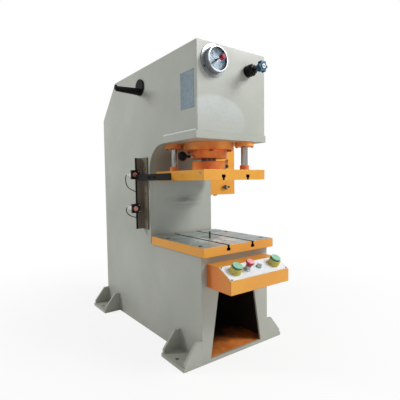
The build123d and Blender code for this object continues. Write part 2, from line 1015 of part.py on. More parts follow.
def catch_plunger():
    """Spring-loaded plunger: pin, neck and ball knob."""
    tip = -rod_radius - plunger_tip_gap
    sleeve_end = -gland_radius - plunger_sleeve_length
    ball_x = sleeve_end - plunger_neck_length - plunger_knob_radius + plunger_knob_seat
    ends = [(x, ram_y, plunger_height) for x in (tip, sleeve_end, ball_x)]
    plunger = bar(ends[0], ends[1], plunger_pin_radius)
    plunger += bar(ends[1], ends[2], plunger_neck_radius)
    return plunger + Pos(*ends[2]) * Rot(0, 0, 90) * Sphere(plunger_knob_radius)


def catch_sleeve():
    """Turned sleeve that guides the plunger at the gland."""
    start = (-gland_radius, ram_y, plunger_height)
    bore = plunger_pin_radius + running_clearance
    profile = [
        (bore, 0),
        (plunger_sleeve_radius, 0),
        (plunger_sleeve_radius, plunger_sleeve_length - 2),
        (plunger_sleeve_radius - 2, plunger_sleeve_length),
        (bore, plunger_sleeve_length),
    ]
    sleeve = turned(profile, Plane(origin=start, z_dir=(-1, 0, 0)))
    return sleeve - upright(gland_radius, (gland_bottom, flange_bottom), 0, ram_y)


def panel_profile(inset):
    """Outline of the control box in (Y, Z), set in by a sheet thickness."""
    lean = inset * math.tan(slope_angle / 2)
    rise = inset / math.cos(slope_angle) - inset * math.tan(slope_angle)
    return [
        (front_y, panel_bottom + inset),
        (panel_front + inset, panel_bottom + inset),
        (panel_front + inset, panel_bottom + panel_front_height - rise),
        (front_y - panel_flat_depth + lean, panel_top - inset),
        (front_y, panel_top - inset),
    ]


def panel_box():
    """Folded sheet box of the two-hand control, open at the back and under its face."""
    half = panel_width / 2
    outer = side_slab(panel_profile(0), (-half, half))
    inner = side_slab(panel_profile(panel_sheet), (-half + panel_sheet, half - panel_sheet))
    window = slope_cutter(half - panel_rim, panel_rim)
    return outer - inner - window


def slope_cutter(half, margin):
    """Upright cut through the sloping face, that far in from its edges."""
    middle = slope_length / 2 - panel_button_from_top
    depth = 4 * panel_sheet
    face = Pos(0, -middle, -depth / 2) * Box(
        2 * half, slope_length - 2 * margin, depth, align=(Align.CENTER, Align.CENTER, Align.MIN)
    )
    return slope_plane(0) * face


def panel_face():
    """Face plate of the control box, with a hole for each device."""
    middle = slope_length / 2 - panel_button_from_top
    plate = Pos(0, -middle, 0) * Box(
        panel_width - 2 * panel_face_margin,
        slope_length - 2 * panel_face_margin,
        panel_face_thickness,
        align=(Align.CENTER, Align.CENTER, Align.MIN),
    )
    plate = slope_plane(0) * plate
    for x in panel_button_x.values():
        hole = Pos(0, 0, -1) * Cylinder(
            button_neck_radius + seated_clearance,
            panel_face_thickness + 2,
            align=(Align.CENTER, Align.CENTER, Align.MIN),
        )
        plate -= slope_plane(x) * hole
    return plate


def device_plane(name):
    """Plane on top of the face plate, on a device's axis."""
    return slope_plane(panel_button_x[name], panel_face_thickness)


def palm_button_rings():
    """Guard rings of the two palm buttons, with their threaded necks."""
    bore = palm_cap_radius + 0.5
    neck = -panel_face_thickness - button_neck_length
    stem = button_stem_radius + running_clearance
    profile = [
        (stem, neck),
        (button_neck_radius, neck),
        (button_neck_radius, 0),
        (palm_ring_radius, 0),
        (palm_ring_radius, palm_ring_height - 2),
        (palm_ring_radius - 2, palm_ring_height),
        (bore, palm_ring_height),
        (bore, 8),
        (stem, 8),
    ]
    return [turned(profile, device_plane(name)) for name in ("palm_left", "palm_right")]


def palm_button(name):
    """Palm button: a low domed cap on its stem."""
    dome = palm_cap_height - 5
    profile = [
        (0, -button_neck_length + palm_travel),
        (button_stem_radius, -button_neck_length + palm_travel),
        (button_stem_radius, palm_cap_skirt),
        (palm_cap_radius, palm_cap_skirt),
        (palm_cap_radius, dome),
        (palm_cap_radius - 2, dome + 2.5),
        (palm_cap_radius - 8, palm_cap_height - 1),
        (0, palm_cap_height),
    ]
    return turned(profile, device_plane(name))


def switch_collars():
    """Collars of the stop button and of the selector, with their threaded necks."""
    stem = button_stem_radius + running_clearance
    neck = -panel_face_thickness - button_neck_length
    shared = [(stem, neck), (button_neck_radius, neck), (button_neck_radius, 0)]
    stop = shared + [
        (stop_base_radius + 3, 0),
        (stop_base_radius + 3, 4),
        (stop_base_radius, 6),
        (stop_base_radius, stop_base_height),
        (stem, stop_base_height),
    ]
    selector = shared + [
        (selector_base_radius, 0),
        (selector_base_radius, selector_base_height - 2),
        (selector_base_radius - 2, selector_base_height),
        (stem, selector_base_height),
    ]
    return [turned(stop, device_plane("stop")), turned(selector, device_plane("selector"))]


def estop_head():
    """Mushroom head of the stop button, on its stem."""
    profile = [
        (0, -button_neck_length + palm_travel),
        (button_stem_radius, -button_neck_length + palm_travel),
        (button_stem_radius, stop_head_bottom),
        (stop_head_radius - 6, stop_head_bottom),
        (stop_head_radius - 1, stop_head_bottom + 8),
        (stop_head_radius, stop_head_top - 10),
        (stop_head_radius - 1.5, stop_head_top - 5),
        (stop_head_radius - 5, stop_head_top - 2),
        (stop_head_radius - 11, stop_head_top),
        (0, stop_head_top),
    ]
    return turned(profile, device_plane("stop"))


def selector_knob():
    """Selector knob with a raised grip across it."""
    low = selector_base_height + slide_gap
    top = low + selector_knob_height - selector_base_height
    profile = [
        (0, -button_neck_length + palm_travel),
        (button_stem_radius, -button_neck_length + palm_travel),
        (button_stem_radius, low),
        (selector_knob_radius, low),
        (selector_knob_radius, top),
        (0, top),
    ]
    knob = turned(profile, device_plane("selector"))
    length, width, height = selector_grip
    grip = Pos(0, 0, low + 1) * Box(
        length, width, height, align=(Align.CENTER, Align.CENTER, Align.MIN)
    )
    grip = fillet(grip.edges().filter_by(Axis.Z), width / 2 - 0.5)
    return knob + device_plane("selector") * Rot(0, 0, -50) * grip


def gauge_case():
    """Gauge case with its panel flange and bezel, let into the head's front plate."""
    inner = gauge_case_radius - gauge_wall
    seat = gauge_case_front - gauge_glass_depth - gauge_glass_thickness
    profile = [
        (0, -gauge_case_behind),
        (gauge_case_radius, -gauge_case_behind),
        (gauge_case_radius, 0),
        (gauge_flange_radius, 0),
        (gauge_flange_radius, gauge_flange_thickness),
        (gauge_case_radius, gauge_flange_thickness + 2),
        (gauge_case_radius, gauge_case_front - 3),
        (gauge_case_radius - 3, gauge_case_front),
        (gauge_case_radius - gauge_bezel_width, gauge_case_front),
        (gauge_case_radius - gauge_bezel_width, seat + gauge_glass_thickness),
        (inner, seat + gauge_glass_thickness),
        (inner, seat - gauge_dial_depth),
        (0, seat - gauge_dial_depth),
    ]
    plane = front_plane(gauge_x, head_y, gauge_z)
    case = turned(profile, plane)
    radius = gauge_screw_circle / 2
    for step in range(3):
        turn = math.pi / 2 + step * 2 * math.pi / 3
        hole = Pos(radius * math.cos(turn), radius * math.sin(turn), -1) * Cylinder(
            gauge_screw_radius, 10, align=(Align.CENTER, Align.CENTER, Align.MIN)
        )
        case -= plane * hole
    return case


def gauge_dial():
    """Dial plate, on the floor of the case."""
    seat = gauge_case_front - gauge_glass_depth - gauge_glass_thickness - gauge_dial_depth
    radius = gauge_case_radius - gauge_wall - seated_clearance
    profile = [
        (gauge_spindle_radius + 1, seat),
        (radius, seat),
        (radius, seat + gauge_dial_thickness),
        (gauge_spindle_radius + 1, seat + gauge_dial_thickness),
    ]
    return turned(profile, front_plane(gauge_x, head_y, gauge_z))


def gauge_glass():
    """Window of the gauge, bored for the setting knob."""
    seat = gauge_case_front - gauge_glass_depth - gauge_glass_thickness
    radius = gauge_case_radius - gauge_wall - seated_clearance
    bore = gauge_spindle_radius + running_clearance
    profile = [
        (bore, seat),
        (radius, seat),
        (radius, seat + gauge_glass_thickness),
        (bore, seat + gauge_glass_thickness),
    ]
    return turned(profile, front_plane(gauge_x, head_y, gauge_z))


def gauge_pointer():
    """Pointer on its hub, over the dial, at its zero mark."""
    dial = gauge_case_front - gauge_glass_depth - gauge_glass_thickness - gauge_dial_depth
    low = dial + gauge_dial_thickness + 2
    plane = front_plane(gauge_x, head_y, gauge_z)
    profile = [
        (0, dial + 0.2),
        (gauge_spindle_radius, dial + 0.2),
        (gauge_spindle_radius, low),
        (gauge_hub_radius, low),
        (gauge_hub_radius, low + 4),
        (0, low + 4),
    ]
    tail = (-3, -gauge_pointer_tail)
    tip = (0.8, gauge_pointer_length)
    outline = Polyline(tail, (-tail[0], tail[1]), tip, (-tip[0], tip[1]), close=True)
    blade = extrude(make_face(outline), gauge_pointer_thickness)
    turn = Rot(0, 0, gauge_zero_angle)
    return turned(profile, plane) + plane * turn * Pos(0, 0, low + 1) * blade


def gauge_knob():
    """Red setting knob in front of the glass, on its spindle."""
    seat = gauge_case_front - gauge_glass_depth - gauge_glass_thickness
    low = gauge_case_front + gauge_knob_stand_off
    top = low + gauge_knob_length
    profile = [
        (0, seat - 2),
        (gauge_spindle_radius, seat - 2),
        (gauge_spindle_radius, low),
        (gauge_knob_radius - 1, low),
        (gauge_knob_radius, low + 1),
        (gauge_knob_radius, top - 2),
        (gauge_knob_radius - 2, top),
        (0, top),
    ]
    return turned(profile, front_plane(gauge_x, head_y, gauge_z))


def valve_body():
    """Pressure-setting valve, screwed through the head's front plate."""
    plane = front_plane(valve_x, head_y, valve_z)
    bore = valve_spindle_radius + running_clearance
    neck_end = valve_body_length + valve_neck_length
    profile = [
        (0, -front_plate_thickness - valve_inside_length),
        (valve_thread_radius, -front_plate_thickness - valve_inside_length),
        (valve_thread_radius, 0),
        (valve_body_radius - 2, 0),
        (valve_body_radius, 2),
        (valve_body_radius, valve_body_length - 8),
        (valve_body_radius - 8, valve_body_length),
        (valve_neck_radius, valve_body_length),
        (valve_neck_radius, neck_end - 2),
        (valve_neck_radius - 2, neck_end),
        (bore, neck_end),
        (bore, valve_body_length - 20),
        (0, valve_body_length - 20),
    ]
    return turned(profile, plane)


def valve_handwheel():
    """Lobed handwheel on its spindle."""
    plane = front_plane(valve_x, head_y, valve_z)
    spindle = turned(
        [
            (0, valve_body_length - 19),
            (valve_spindle_radius, valve_body_length - 19),
            (valve_spindle_radius, handwheel_stand_off + 1),
            (0, handwheel_stand_off + 1),
        ],
        plane,
    )
    outline = Circle(handwheel_rim_radius)
    for lobe in range(handwheel_lobes):
        turn = 2 * math.pi * lobe / handwheel_lobes
        place = Pos(handwheel_rim_radius * math.cos(turn), handwheel_rim_radius * math.sin(turn))
        outline += place * Circle(handwheel_lobe_radius)
    wheel = Pos(0, 0, handwheel_stand_off) * extrude(outline, handwheel_thickness)
    hub = Pos(0, 0, handwheel_stand_off + handwheel_thickness) * Cylinder(
        handwheel_hub_radius, handwheel_hub_height, align=(Align.CENTER, Align.CENTER, Align.MIN)
    )
    return spindle + plane * (wheel + hub)


def sensor_bracket():
    """Rolled angle on the left side: one leg on the side plate, one standing out."""
    z_range = (sensor_bracket_bottom, sensor_bracket_top)
    back = sensor_bracket_back
    thick = sensor_bracket_thickness
    wall = block(
        (-half_width - thick, -half_width), (back - sensor_bracket_leg, back), z_range
    )
    out = block(
        (-half_width - sensor_bracket_reach, -half_width), (back - thick, back), z_range
    )
    angle = wall + out
    inner = angle.edges().filter_by(Axis.Z).sort_by_distance(
        (-half_width - thick, back - thick, sum(z_range) / 2)
    )[0]
    return fillet(inner, 6)


def sensor_rail():
    """Flat rail along the outer edge of the angle, on which the sensors are clamped."""
    edge = -half_width - sensor_bracket_reach
    back = sensor_bracket_back
    z_range = (sensor_bracket_bottom, sensor_bracket_top)
    return block((edge - sensor_rail_width, edge), (back - sensor_rail_depth, back), z_range)


def sensor_clamps():
    """Clamp blocks of the two sensors, each with the channel that takes the rail."""
    edge = -half_width - sensor_bracket_reach
    back = sensor_bracket_back
    clamps = []
    for height in sensor_heights:
        z_range = (height - sensor_block_height / 2, height + sensor_block_height / 2)
        clamp = block(
            (sensor_x - sensor_block_half_width, sensor_x + sensor_block_half_width + sensor_jaw_reach),
            (sensor_block_front, back + slide_gap + sensor_jaw),
            z_range,
        )
        clamp -= block(
            (edge - sensor_rail_width - slide_gap, 0),
            (back - sensor_rail_depth - slide_gap, back + slide_gap),
            (z_range[0] - 1, z_range[1] + 1),
        )
        clamp -= block(
            (sensor_x - sensor_block_half_width - 1, edge - sensor_rail_width - slide_gap - sensor_jaw),
            (sensor_block_front + sensor_block_depth, back + sensor_jaw + 1),
            (z_range[0] - 1, z_range[1] + 1),
        )
        bore = sensor_radius + running_clearance
        ends = [(sensor_x, y, height) for y in (sensor_block_front - 1, back + sensor_jaw + 2)]
        clamps.append(clamp - bar(*ends, bore))
    return clamps


def sensor_barrels():
    """Two cylindrical sensors along Y, with the narrower tail of each at the back."""
    barrels = []
    tail = sensor_face_y + sensor_length
    for height in sensor_heights:
        ends = [(sensor_x, y, height) for y in (sensor_face_y, tail, tail + sensor_tail_length)]
        barrels.append(bar(ends[0], ends[1], sensor_radius) + bar(ends[1], ends[2], sensor_tail_radius))
    return barrels


def lead_entry(height, drop):
    """Where a sensor lead enters the side plate, as (Y, Z): behind and below its sensor."""
    return sensor_bracket_back + gland_behind_bracket, height - drop


def wiring_exit():
    """Where the press's wiring leaves the right side plate, below the cabinet, as (Y, Z)."""
    return cabinet_front + cabinet_depth / 3, cabinet_bottom - wiring_exit_drop


def floor_entries():
    """Where the wiring and the supply enter the floor of the cabinet, as two (X, Y) pairs."""
    middle = half_width + cabinet_width / 2
    y = cabinet_front + cabinet_depth / 3
    return [(middle + side * floor_gland_spacing / 2, y) for side in (-1, 1)]


def lead_route(height, drop):
    """Points of one sensor lead, from the sensor's tail down and round to its gland."""
    y_tail = sensor_face_y + sensor_length + sensor_tail_length
    y_end, z_end = lead_entry(height, drop)
    x_end = -half_width - gland_hex_height
    return [
        (sensor_x, y_tail, height),
        (sensor_x, y_tail + 28, height),
        (sensor_x + 2, y_tail + 44, height - drop * 0.2),
        (sensor_x + 4, y_tail + 46, height - drop * 0.45),
        (sensor_x + 8, y_tail + 34, height - drop * 0.68),
        (sensor_x + 16, y_tail + 8, height - drop * 0.85),
        (x_end - 27, y_end, z_end),
        (x_end, y_end, z_end),
    ]


def sensor_leads():
    """Leads of the two sensors, each held at its sensor and at its gland."""
    leads = []
    for height, drop in zip(sensor_heights, gland_drops):
        points = [Vector(*point) for point in lead_route(height, drop)]
        radii = []
        for before, here, after in zip(points, points[1:], points[2:]):
            half_turn = math.radians((here - before).get_angle(after - here)) / 2
            shorter = min((here - before).length, (after - here).length)
            radii.append(lead_bend_share * shorter / math.tan(half_turn))
        path = FilletPolyline(*points, radius=radii)
        section = Plane(origin=points[0], z_dir=points[1] - points[0]) * Circle(sensor_lead_radius)
        leads.append(sweep(section, path=path))
        print("lead bend radii", [round(radius) for radius in radii])
    return leads


def gland(seat, flats, height, thread_length):
    """A gland closed by its seal: the hexagon on its seat, the thread through the wall behind."""
    inner_end = seat.origin - seat.z_dir * thread_length
    thread = bar(seat.origin.to_tuple(), inner_end.to_tuple(), gland_hole_radius - seated_clearance)
    return hexagon(flats, height, seat) + thread


def cable_glands():
    """Cable glands: two for the leads, one for the wiring, two in the floor of the cabinet."""
    seats = []
    for height, drop in zip(sensor_heights, gland_drops):
        y, z = lead_entry(height, drop)
        seats.append(Plane(origin=(-half_width, y, z), z_dir=(-1, 0, 0)))
    y, z = wiring_exit()
    seats.append(Plane(origin=(half_width, y, z), z_dir=(1, 0, 0)))
    glands = [gland(seat, gland_hex_flats, gland_hex_height, gland_thread_length) for seat in seats]
    for x, y in floor_entries():
        seat = Plane(origin=(x, y, cabinet_bottom), z_dir=(0, 0, -1))
        glands.append(gland(seat, floor_gland_flats, floor_gland_height, floor_gland_thread_length))
    return glands


def cabinet_box():
    """Folded cabinet body on the right side plate, with a lip round its front."""
    x_range = (half_width, cabinet_right)
    y_range = (cabinet_front, cabinet_front + cabinet_depth)
    z_range = (cabinet_bottom, cabinet_bottom + cabinet_height)
    box = block(x_range, y_range, z_range)
    sheet = cabinet_sheet
    box -= block(
        (x_range[0] + sheet, x_range[1] - sheet),
        (y_range[0] + sheet, y_range[1] - sheet),
        (z_range[0] + sheet, z_range[1] - sheet),
    )
    lip = cabinet_lip
    box -= block(
        (x_range[0] + lip, x_range[1] - lip),
        (y_range[0] - 1, y_range[0] + sheet + 1),
        (z_range[0] + lip, z_range[1] - lip),
    )
    for x, y in floor_entries():
        box -= upright(gland_hole_radius, (cabinet_bottom - 1, cabinet_bottom + sheet + 1), x, y)
    for low, high in hinge_spans():
        middle = (low + high) / 2
        box += upright(hinge_radius, (low, middle - slide_gap / 2), hinge_x, hinge_y)
        box += upright(hinge_pin_radius, (middle - 1, high - 1), hinge_x, hinge_y)
        leaf_y = (hinge_y + 1, hinge_y + 22)
        box += block((cabinet_right, cabinet_right + 2), leaf_y, (low, middle - slide_gap / 2))
        web = (hinge_y + 0.5, hinge_y + 3)
        box += block((cabinet_right, hinge_x), web, (low, middle - slide_gap / 2))
    return box


def hinge_spans():
    low = cabinet_bottom + hinge_inset
    high = cabinet_bottom + cabinet_height - hinge_inset
    return [(low, low + hinge_length), (high - hinge_length, high)]


def cabinet_door():
    """Pan-shaped door on two hinges."""
    x_range = (half_width + 1, cabinet_right)
    y_range = (throat_y, throat_y + cabinet_door_depth)
    z_range = (cabinet_bottom, cabinet_bottom + cabinet_height)
    door = block(x_range, y_range, z_range)
    sheet = cabinet_sheet
    door -= block(
        (x_range[0] + sheet, x_range[1] - sheet),
        (y_range[0] + sheet, y_range[1] + 1),
        (z_range[0] + sheet, z_range[1] - sheet),
    )
    for low, high in hinge_spans():
        middle = (low + high) / 2
        levels = (middle + slide_gap / 2, high)
        knuckle = upright(hinge_radius, levels, hinge_x, hinge_y)
        web = (hinge_y - 3, hinge_y - 0.5)
        knuckle += block((cabinet_right, hinge_x), web, levels)
        knuckle += block((cabinet_right, cabinet_right + 2), (throat_y + 2, hinge_y - 1), levels)
        knuckle -= upright(hinge_pin_radius + running_clearance, (low, high + 1), hinge_x, hinge_y)
        door += knuckle
    for x, z, radius in (
        (latch_x, cabinet_bottom + latch_above_bottom, latch_spindle_radius),
        (isolator_x, isolator_z, isolator_spindle_radius),
    ):
        hole = radius + running_clearance
        door -= bar((x, throat_y - 1, z), (x, throat_y + sheet + 1, z), hole)
    return door


def cabinet_latch():
    """Quarter-turn latch, open: a T-bar outside and its cam inside, lying level."""
    z = cabinet_bottom + latch_above_bottom
    plane = front_plane(latch_x, throat_y, z)
    centred = (Align.CENTER, Align.CENTER, Align.MIN)
    hub = Pos(0, 0, slide_gap) * Cylinder(latch_hub_radius, latch_hub_height, align=centred)
    length, width, height = latch_bar
    grip = Pos(0, 0, latch_hub_height - 1) * Box(length, width, height, align=centred)
    grip = fillet(grip.edges().filter_by(Axis.X), 3)
    width, thick, length = latch_cam
    cam_y = cabinet_front + cabinet_sheet + 1
    start = (latch_x, throat_y - 2, z)
    spindle = bar(start, (latch_x, cam_y + thick, z), latch_spindle_radius)
    x_range = (latch_x + width / 2 - length, latch_x + width / 2)
    cam = block(x_range, (cam_y, cam_y + thick), (z - width / 2, z + width / 2))
    return plane * (hub + grip) + spindle + cam


def isolator_lever():
    """Toggle lever of the isolator, with a ball on its end."""
    profile = [
        (0, -cabinet_sheet - isolator_spindle_length),
        (isolator_spindle_radius, -cabinet_sheet - isolator_spindle_length),
        (isolator_spindle_radius, slide_gap),
        (isolator_hub_radius, slide_gap),
        (isolator_hub_radius, isolator_hub_height - 2),
        (isolator_hub_radius - 2, isolator_hub_height),
        (0, isolator_hub_height),
    ]
    hub = turned(profile, front_plane(isolator_x, throat_y, isolator_z))
    y = throat_y - isolator_hub_height / 2
    tip = (isolator_x, y - isolator_ball_radius / 2, isolator_z + isolator_lever_length)
    lever = bar((isolator_x, y, isolator_z), tip, isolator_lever_radius)
    return hub + lever + Pos(*tip) * Rot(0, 0, 45) * Sphere(isolator_ball_radius)


def oil_tank():
    """Welded oil tank on two rails; its top plate has the well for the pump."""
    half = tank_width / 2
    y_range = (tank_y - tank_length / 2, tank_y + tank_length / 2)
    top = tank_floor + tank_height
    tank = block((-half, half), y_range, (tank_floor, top + tank_top_thickness))
    tank -= block(
        (-half + tank_wall, half - tank_wall),
        (y_range[0] + tank_wall, y_range[1] - tank_wall),
        (tank_floor + tank_wall, top),
    )
    tank -= upright(pump_radius + pump_well_gap, (top - 1, tank_top() + 1), 0, motor_y)
    width, height = tank_rail
    for x in (-half, half - width):
        tank += block((x, x + width), y_range, (0, height))
    return tank


def tank_top():
    return tank_floor + tank_height + tank_top_thickness


def motor_housing():
    """Flange motor standing on the tank, with its bell and cooling fins."""
    low = tank_top() + motor_flange_thickness + coupling_length
    top = low + motor_length
    shell = motor_radius - motor_wall
    bore = motor_shaft_radius + running_clearance
    bell = pump_radius + bell_gap
    profile = [
        (bell, tank_top()),
        (motor_flange_radius, tank_top()),
        (motor_flange_radius, tank_top() + motor_flange_thickness),
        (motor_radius, tank_top() + motor_flange_thickness),
        (motor_radius, top - 8),
        (motor_radius - 8, top),
        (0, top),
        (0, top - motor_wall),
        (shell, top - motor_wall),
        (shell, low),
        (bore, low),
        (bore, low - motor_wall),
        (bell, low - motor_wall),
    ]
    housing = turned(profile, Plane(origin=(0, motor_y, 0)))
    reach, thick = motor_fin
    levels = (low + 10, top - 30)
    for step in range(motor_fin_count):
        fin = block((motor_radius - 2, motor_radius + reach), (-thick / 2, thick / 2), levels)
        housing += Pos(0, motor_y, 0) * Rot(0, 0, 360 * step / motor_fin_count) * fin
    return housing


def motor_shaft():
    """Motor shaft with its rotor, and the coupling hub at its lower end."""
    wall = tank_top() + motor_flange_thickness + coupling_length
    top = wall + motor_length - motor_wall - 2
    hub_top = wall - motor_wall - 5
    hub_low = hub_top - coupling_length / 2
    profile = [
        (0, hub_low),
        (coupling_radius, hub_low),
        (coupling_radius, hub_top),
        (motor_shaft_radius, hub_top),
        (motor_shaft_radius, wall + 15),
        (rotor_radius, wall + 15),
        (rotor_radius, top - 40),
        (motor_shaft_radius, top - 40),
        (motor_shaft_radius, top),
        (0, top),
    ]
    return turned(profile, Plane(origin=(0, motor_y, 0)))


def pump():
    """Gear pump in the oil, hung by its neck from a flange inside the motor's bell."""
    low = tank_floor + tank_height - pump_depth
    flange_top = tank_top() + motor_flange_thickness
    flange_radius = pump_radius + bell_gap - seated_clearance
    profile = [
        (0, low - pump_length),
        (pump_radius, low - pump_length),
        (pump_radius, low),
        (pump_neck_radius, low),
        (pump_neck_radius, tank_top()),
        (flange_radius, tank_top()),
        (flange_radius, flange_top),
        (pump_shaft_radius, flange_top),
        (pump_shaft_radius, flange_top + 10),
        (0, flange_top + 10),
    ]
    return turned(profile, Plane(origin=(0, motor_y, 0)))


def valve_manifold():
    """Valve block on the tank, and the solenoid valve on top of it."""
    width, length, height = manifold
    base = tank_top()
    y_range = (manifold_y - length / 2, manifold_y + length / 2)
    body = block((-width / 2, width / 2), y_range, (base, base + height))
    width, length, tall = solenoid_valve
    y_range = (manifold_y - length / 2, manifold_y + length / 2)
    valve = block((-width / 2, width / 2), y_range, (base + height, base + height + tall))
    reach = width / 2 + solenoid_length
    ends = [(x, manifold_y, base + height + tall / 2) for x in (-reach, reach)]
    return [body, valve + bar(*ends, solenoid_radius)]


def oil_pipes():
    """Two steel pipes from the valve block up to the ports of the cylinder."""
    pipes = []
    port_y = ram_y + cylinder_bore_radius + cylinder_wall + port_length
    base = tank_top() + manifold[2] / 2
    for side, z in port_places():
        start = (side * manifold[0] / 2, manifold_y, base)
        riser_x = start[0] + side * pipe_riser_offset
        points = [
            start,
            (riser_x, manifold_y, base),
            (riser_x, manifold_y, z),
            (riser_x, port_y + pipe_port_run, z),
            (0, port_y + pipe_port_run, z),
            (0, port_y, z),
        ]
        path = FilletPolyline(*points, radius=pipe_bend_radius)
        section = Plane(origin=start, z_dir=(side, 0, 0)) * Circle(pipe_radius)
        pipes.append(sweep(section, path=path))
    return pipes


def save(name, shape):
    """Write one sub-part, as one solid or as a group of separate solids."""
    group = shape if isinstance(shape, list) else [shape]
    solids = [solid for piece in group for solid in piece.solids()]
    export_step(Compound(children=solids) if len(solids) > 1 else solids[0], f"parts/{name}.step")


makers = {
    "side_plate_left": side_plate_left,
    "side_plate_right": side_plate_right,
    "head_front_plate": head_front_plate,
    "head_base_plate": head_base_plate,
    "throat_plate": throat_plate,
    "top_plate": top_plate,
    "rear_plate": rear_plate,
    "rear_cover": rear_cover,
    "lower_front_plate": lower_front_plate,
    "bed_plate": bed_plate,
    "chute_floor": chute_floor,
    "feet": feet,
    "lifting_pegs": lifting_pegs,
    "table_plate": table_plate,
    "table_screws": table_screws,
    "table_plug": table_plug,
    "cylinder_barrel": cylinder_barrel,
    "cylinder_gland": cylinder_gland,
    "cylinder_seals": cylinder_seals,
    "head_bolts": head_bolts,
    "guide_housings": guide_housings,
    "guide_bushes": guide_bushes,
    "catch_sleeve": catch_sleeve,
    "catch_plunger": catch_plunger,
    "piston_rod": piston_rod,
    "ram_plate": ram_plate,
    "ram_bosses": ram_bosses,
    "guide_rods": guide_rods,
    "pointer_bar": pointer_bar,
    "panel_box": panel_box,
    "panel_face": panel_face,
    "palm_button_rings": palm_button_rings,
    "palm_button_left": lambda: palm_button("palm_left"),
    "palm_button_right": lambda: palm_button("palm_right"),
    "estop_head": estop_head,
    "switch_collars": switch_collars,
    "selector_knob": selector_knob,
    "gauge_case": gauge_case,
    "gauge_dial": gauge_dial,
    "gauge_glass": gauge_glass,
    "gauge_pointer": gauge_pointer,
    "gauge_knob": gauge_knob,
    "valve_body": valve_body,
    "valve_handwheel": valve_handwheel,
    "sensor_bracket": sensor_bracket,
    "sensor_rail": sensor_rail,
    "sensor_clamps": sensor_clamps,
    "sensor_barrels": sensor_barrels,
    "sensor_leads": sensor_leads,
    "cable_glands": cable_glands,
    "cabinet_box": cabinet_box,
    "cabinet_door": cabinet_door,
    "cabinet_latch": cabinet_latch,
    "isolator_lever": isolator_lever,
    "oil_tank": oil_tank,
    "motor_housing": motor_housing,
    "motor_shaft": motor_shaft,
    "pump": pump,
    "valve_manifold": valve_manifold,
    "oil_pipes": oil_pipes,
}

os.makedirs("parts", exist_ok=True)
for node, make in makers.items():
    save(node, make())
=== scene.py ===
import math

import bpy
from mathutils import Matrix, Vector


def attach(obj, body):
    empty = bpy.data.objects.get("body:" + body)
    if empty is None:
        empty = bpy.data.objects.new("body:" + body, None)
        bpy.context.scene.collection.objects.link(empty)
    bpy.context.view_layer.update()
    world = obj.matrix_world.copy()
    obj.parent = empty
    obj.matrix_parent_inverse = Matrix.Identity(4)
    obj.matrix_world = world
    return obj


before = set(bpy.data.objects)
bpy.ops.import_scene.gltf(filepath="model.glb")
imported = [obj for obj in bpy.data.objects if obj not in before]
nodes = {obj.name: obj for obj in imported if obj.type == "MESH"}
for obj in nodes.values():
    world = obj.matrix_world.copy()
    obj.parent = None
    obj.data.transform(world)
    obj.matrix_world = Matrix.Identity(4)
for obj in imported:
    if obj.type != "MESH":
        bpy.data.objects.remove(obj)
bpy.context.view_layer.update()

# Studio: a pale floor, a white surround, one large key light from the front right, a soft
# light behind the left side and a weak one low in front. Only the key light leaves glare.
scene = bpy.context.scene
scene.view_settings.view_transform = "Standard"

camera = bpy.data.cameras.new("camera")
camera.lens = 31.98
camera.sensor_width = 36
camera.clip_end = 100
eye = bpy.data.objects.new("camera", camera)
scene.collection.objects.link(eye)
scene.camera = eye
turn, dip, roll = math.radians(36.57), math.radians(3.13), math.radians(-0.82)
ahead = Vector((math.sin(turn) * math.cos(dip), math.cos(turn) * math.cos(dip), -math.sin(dip)))
level = Vector((math.cos(turn), -math.sin(turn), 0))
upward = level.cross(ahead)
right = math.cos(roll) * level + math.sin(roll) * upward
above = math.cos(roll) * upward - math.sin(roll) * level
eye.matrix_world = Matrix.Translation((-1.3373, -2.104, 0.9789)) @ Matrix(
    (right, above, -ahead)
).transposed().to_4x4()


def lamp(name, place, aim, size, power, colour, mirrored=True):
    """Rectangular area light at a place, turned to a point; unmirrored ones leave no glare."""
    light = bpy.data.lights.new(name, "AREA")
    light.shape = "RECTANGLE"
    light.size, light.size_y = size
    light.energy = power
    light.color = colour
    body = bpy.data.objects.new(name, light)
    scene.collection.objects.link(body)
    body.location = place
    body.rotation_euler = (Vector(aim) - Vector(place)).to_track_quat("-Z", "Y").to_euler()
    body.visible_glossy = mirrored


def add(tree, kind, inputs=None, **settings):
    """Adds one shader node; each input is a plain value or a socket to link."""
    made = tree.nodes.new("ShaderNode" + kind)
    for key, value in settings.items():
        setattr(made, key, value)
    for key, value in (inputs or {}).items():
        if isinstance(value, bpy.types.NodeSocket):
            tree.links.new(value, made.inputs[key])
        else:
            made.inputs[key].default_value = value
    return made


def joint_math(tree, operation, first, second=0.0):
    """Joins two values, each a plain value or a socket."""
    return add(tree, "Math", {0: first, 1: second}, operation=operation).outputs[0]


def band(tree, value, low, high, start=0.0, end=1.0):
    """Maps one stretch of a value to another, and holds it at both ends."""
    inputs = {"Value": value, "From Min": low, "From Max": high, "To Min": start, "To Max": end}
    return add(tree, "MapRange", inputs).outputs["Result"]


lamp("key", (2.75, -3.4, 4.15), (0, -0.3, 0.9), (1.9, 1.9), 210, (1, 1, 1))
lamp("side", (-2.6, 2.2, 2.7), (-0.2, 0.4, 1.2), (1.0, 1.2), 78, (0.96, 0.98, 0.98), False)
lamp("fill", (0.9, -4.0, 0.9), (0, -0.4, 0.7), (2.0, 1.2), 15, (0.96, 0.99, 1), False)

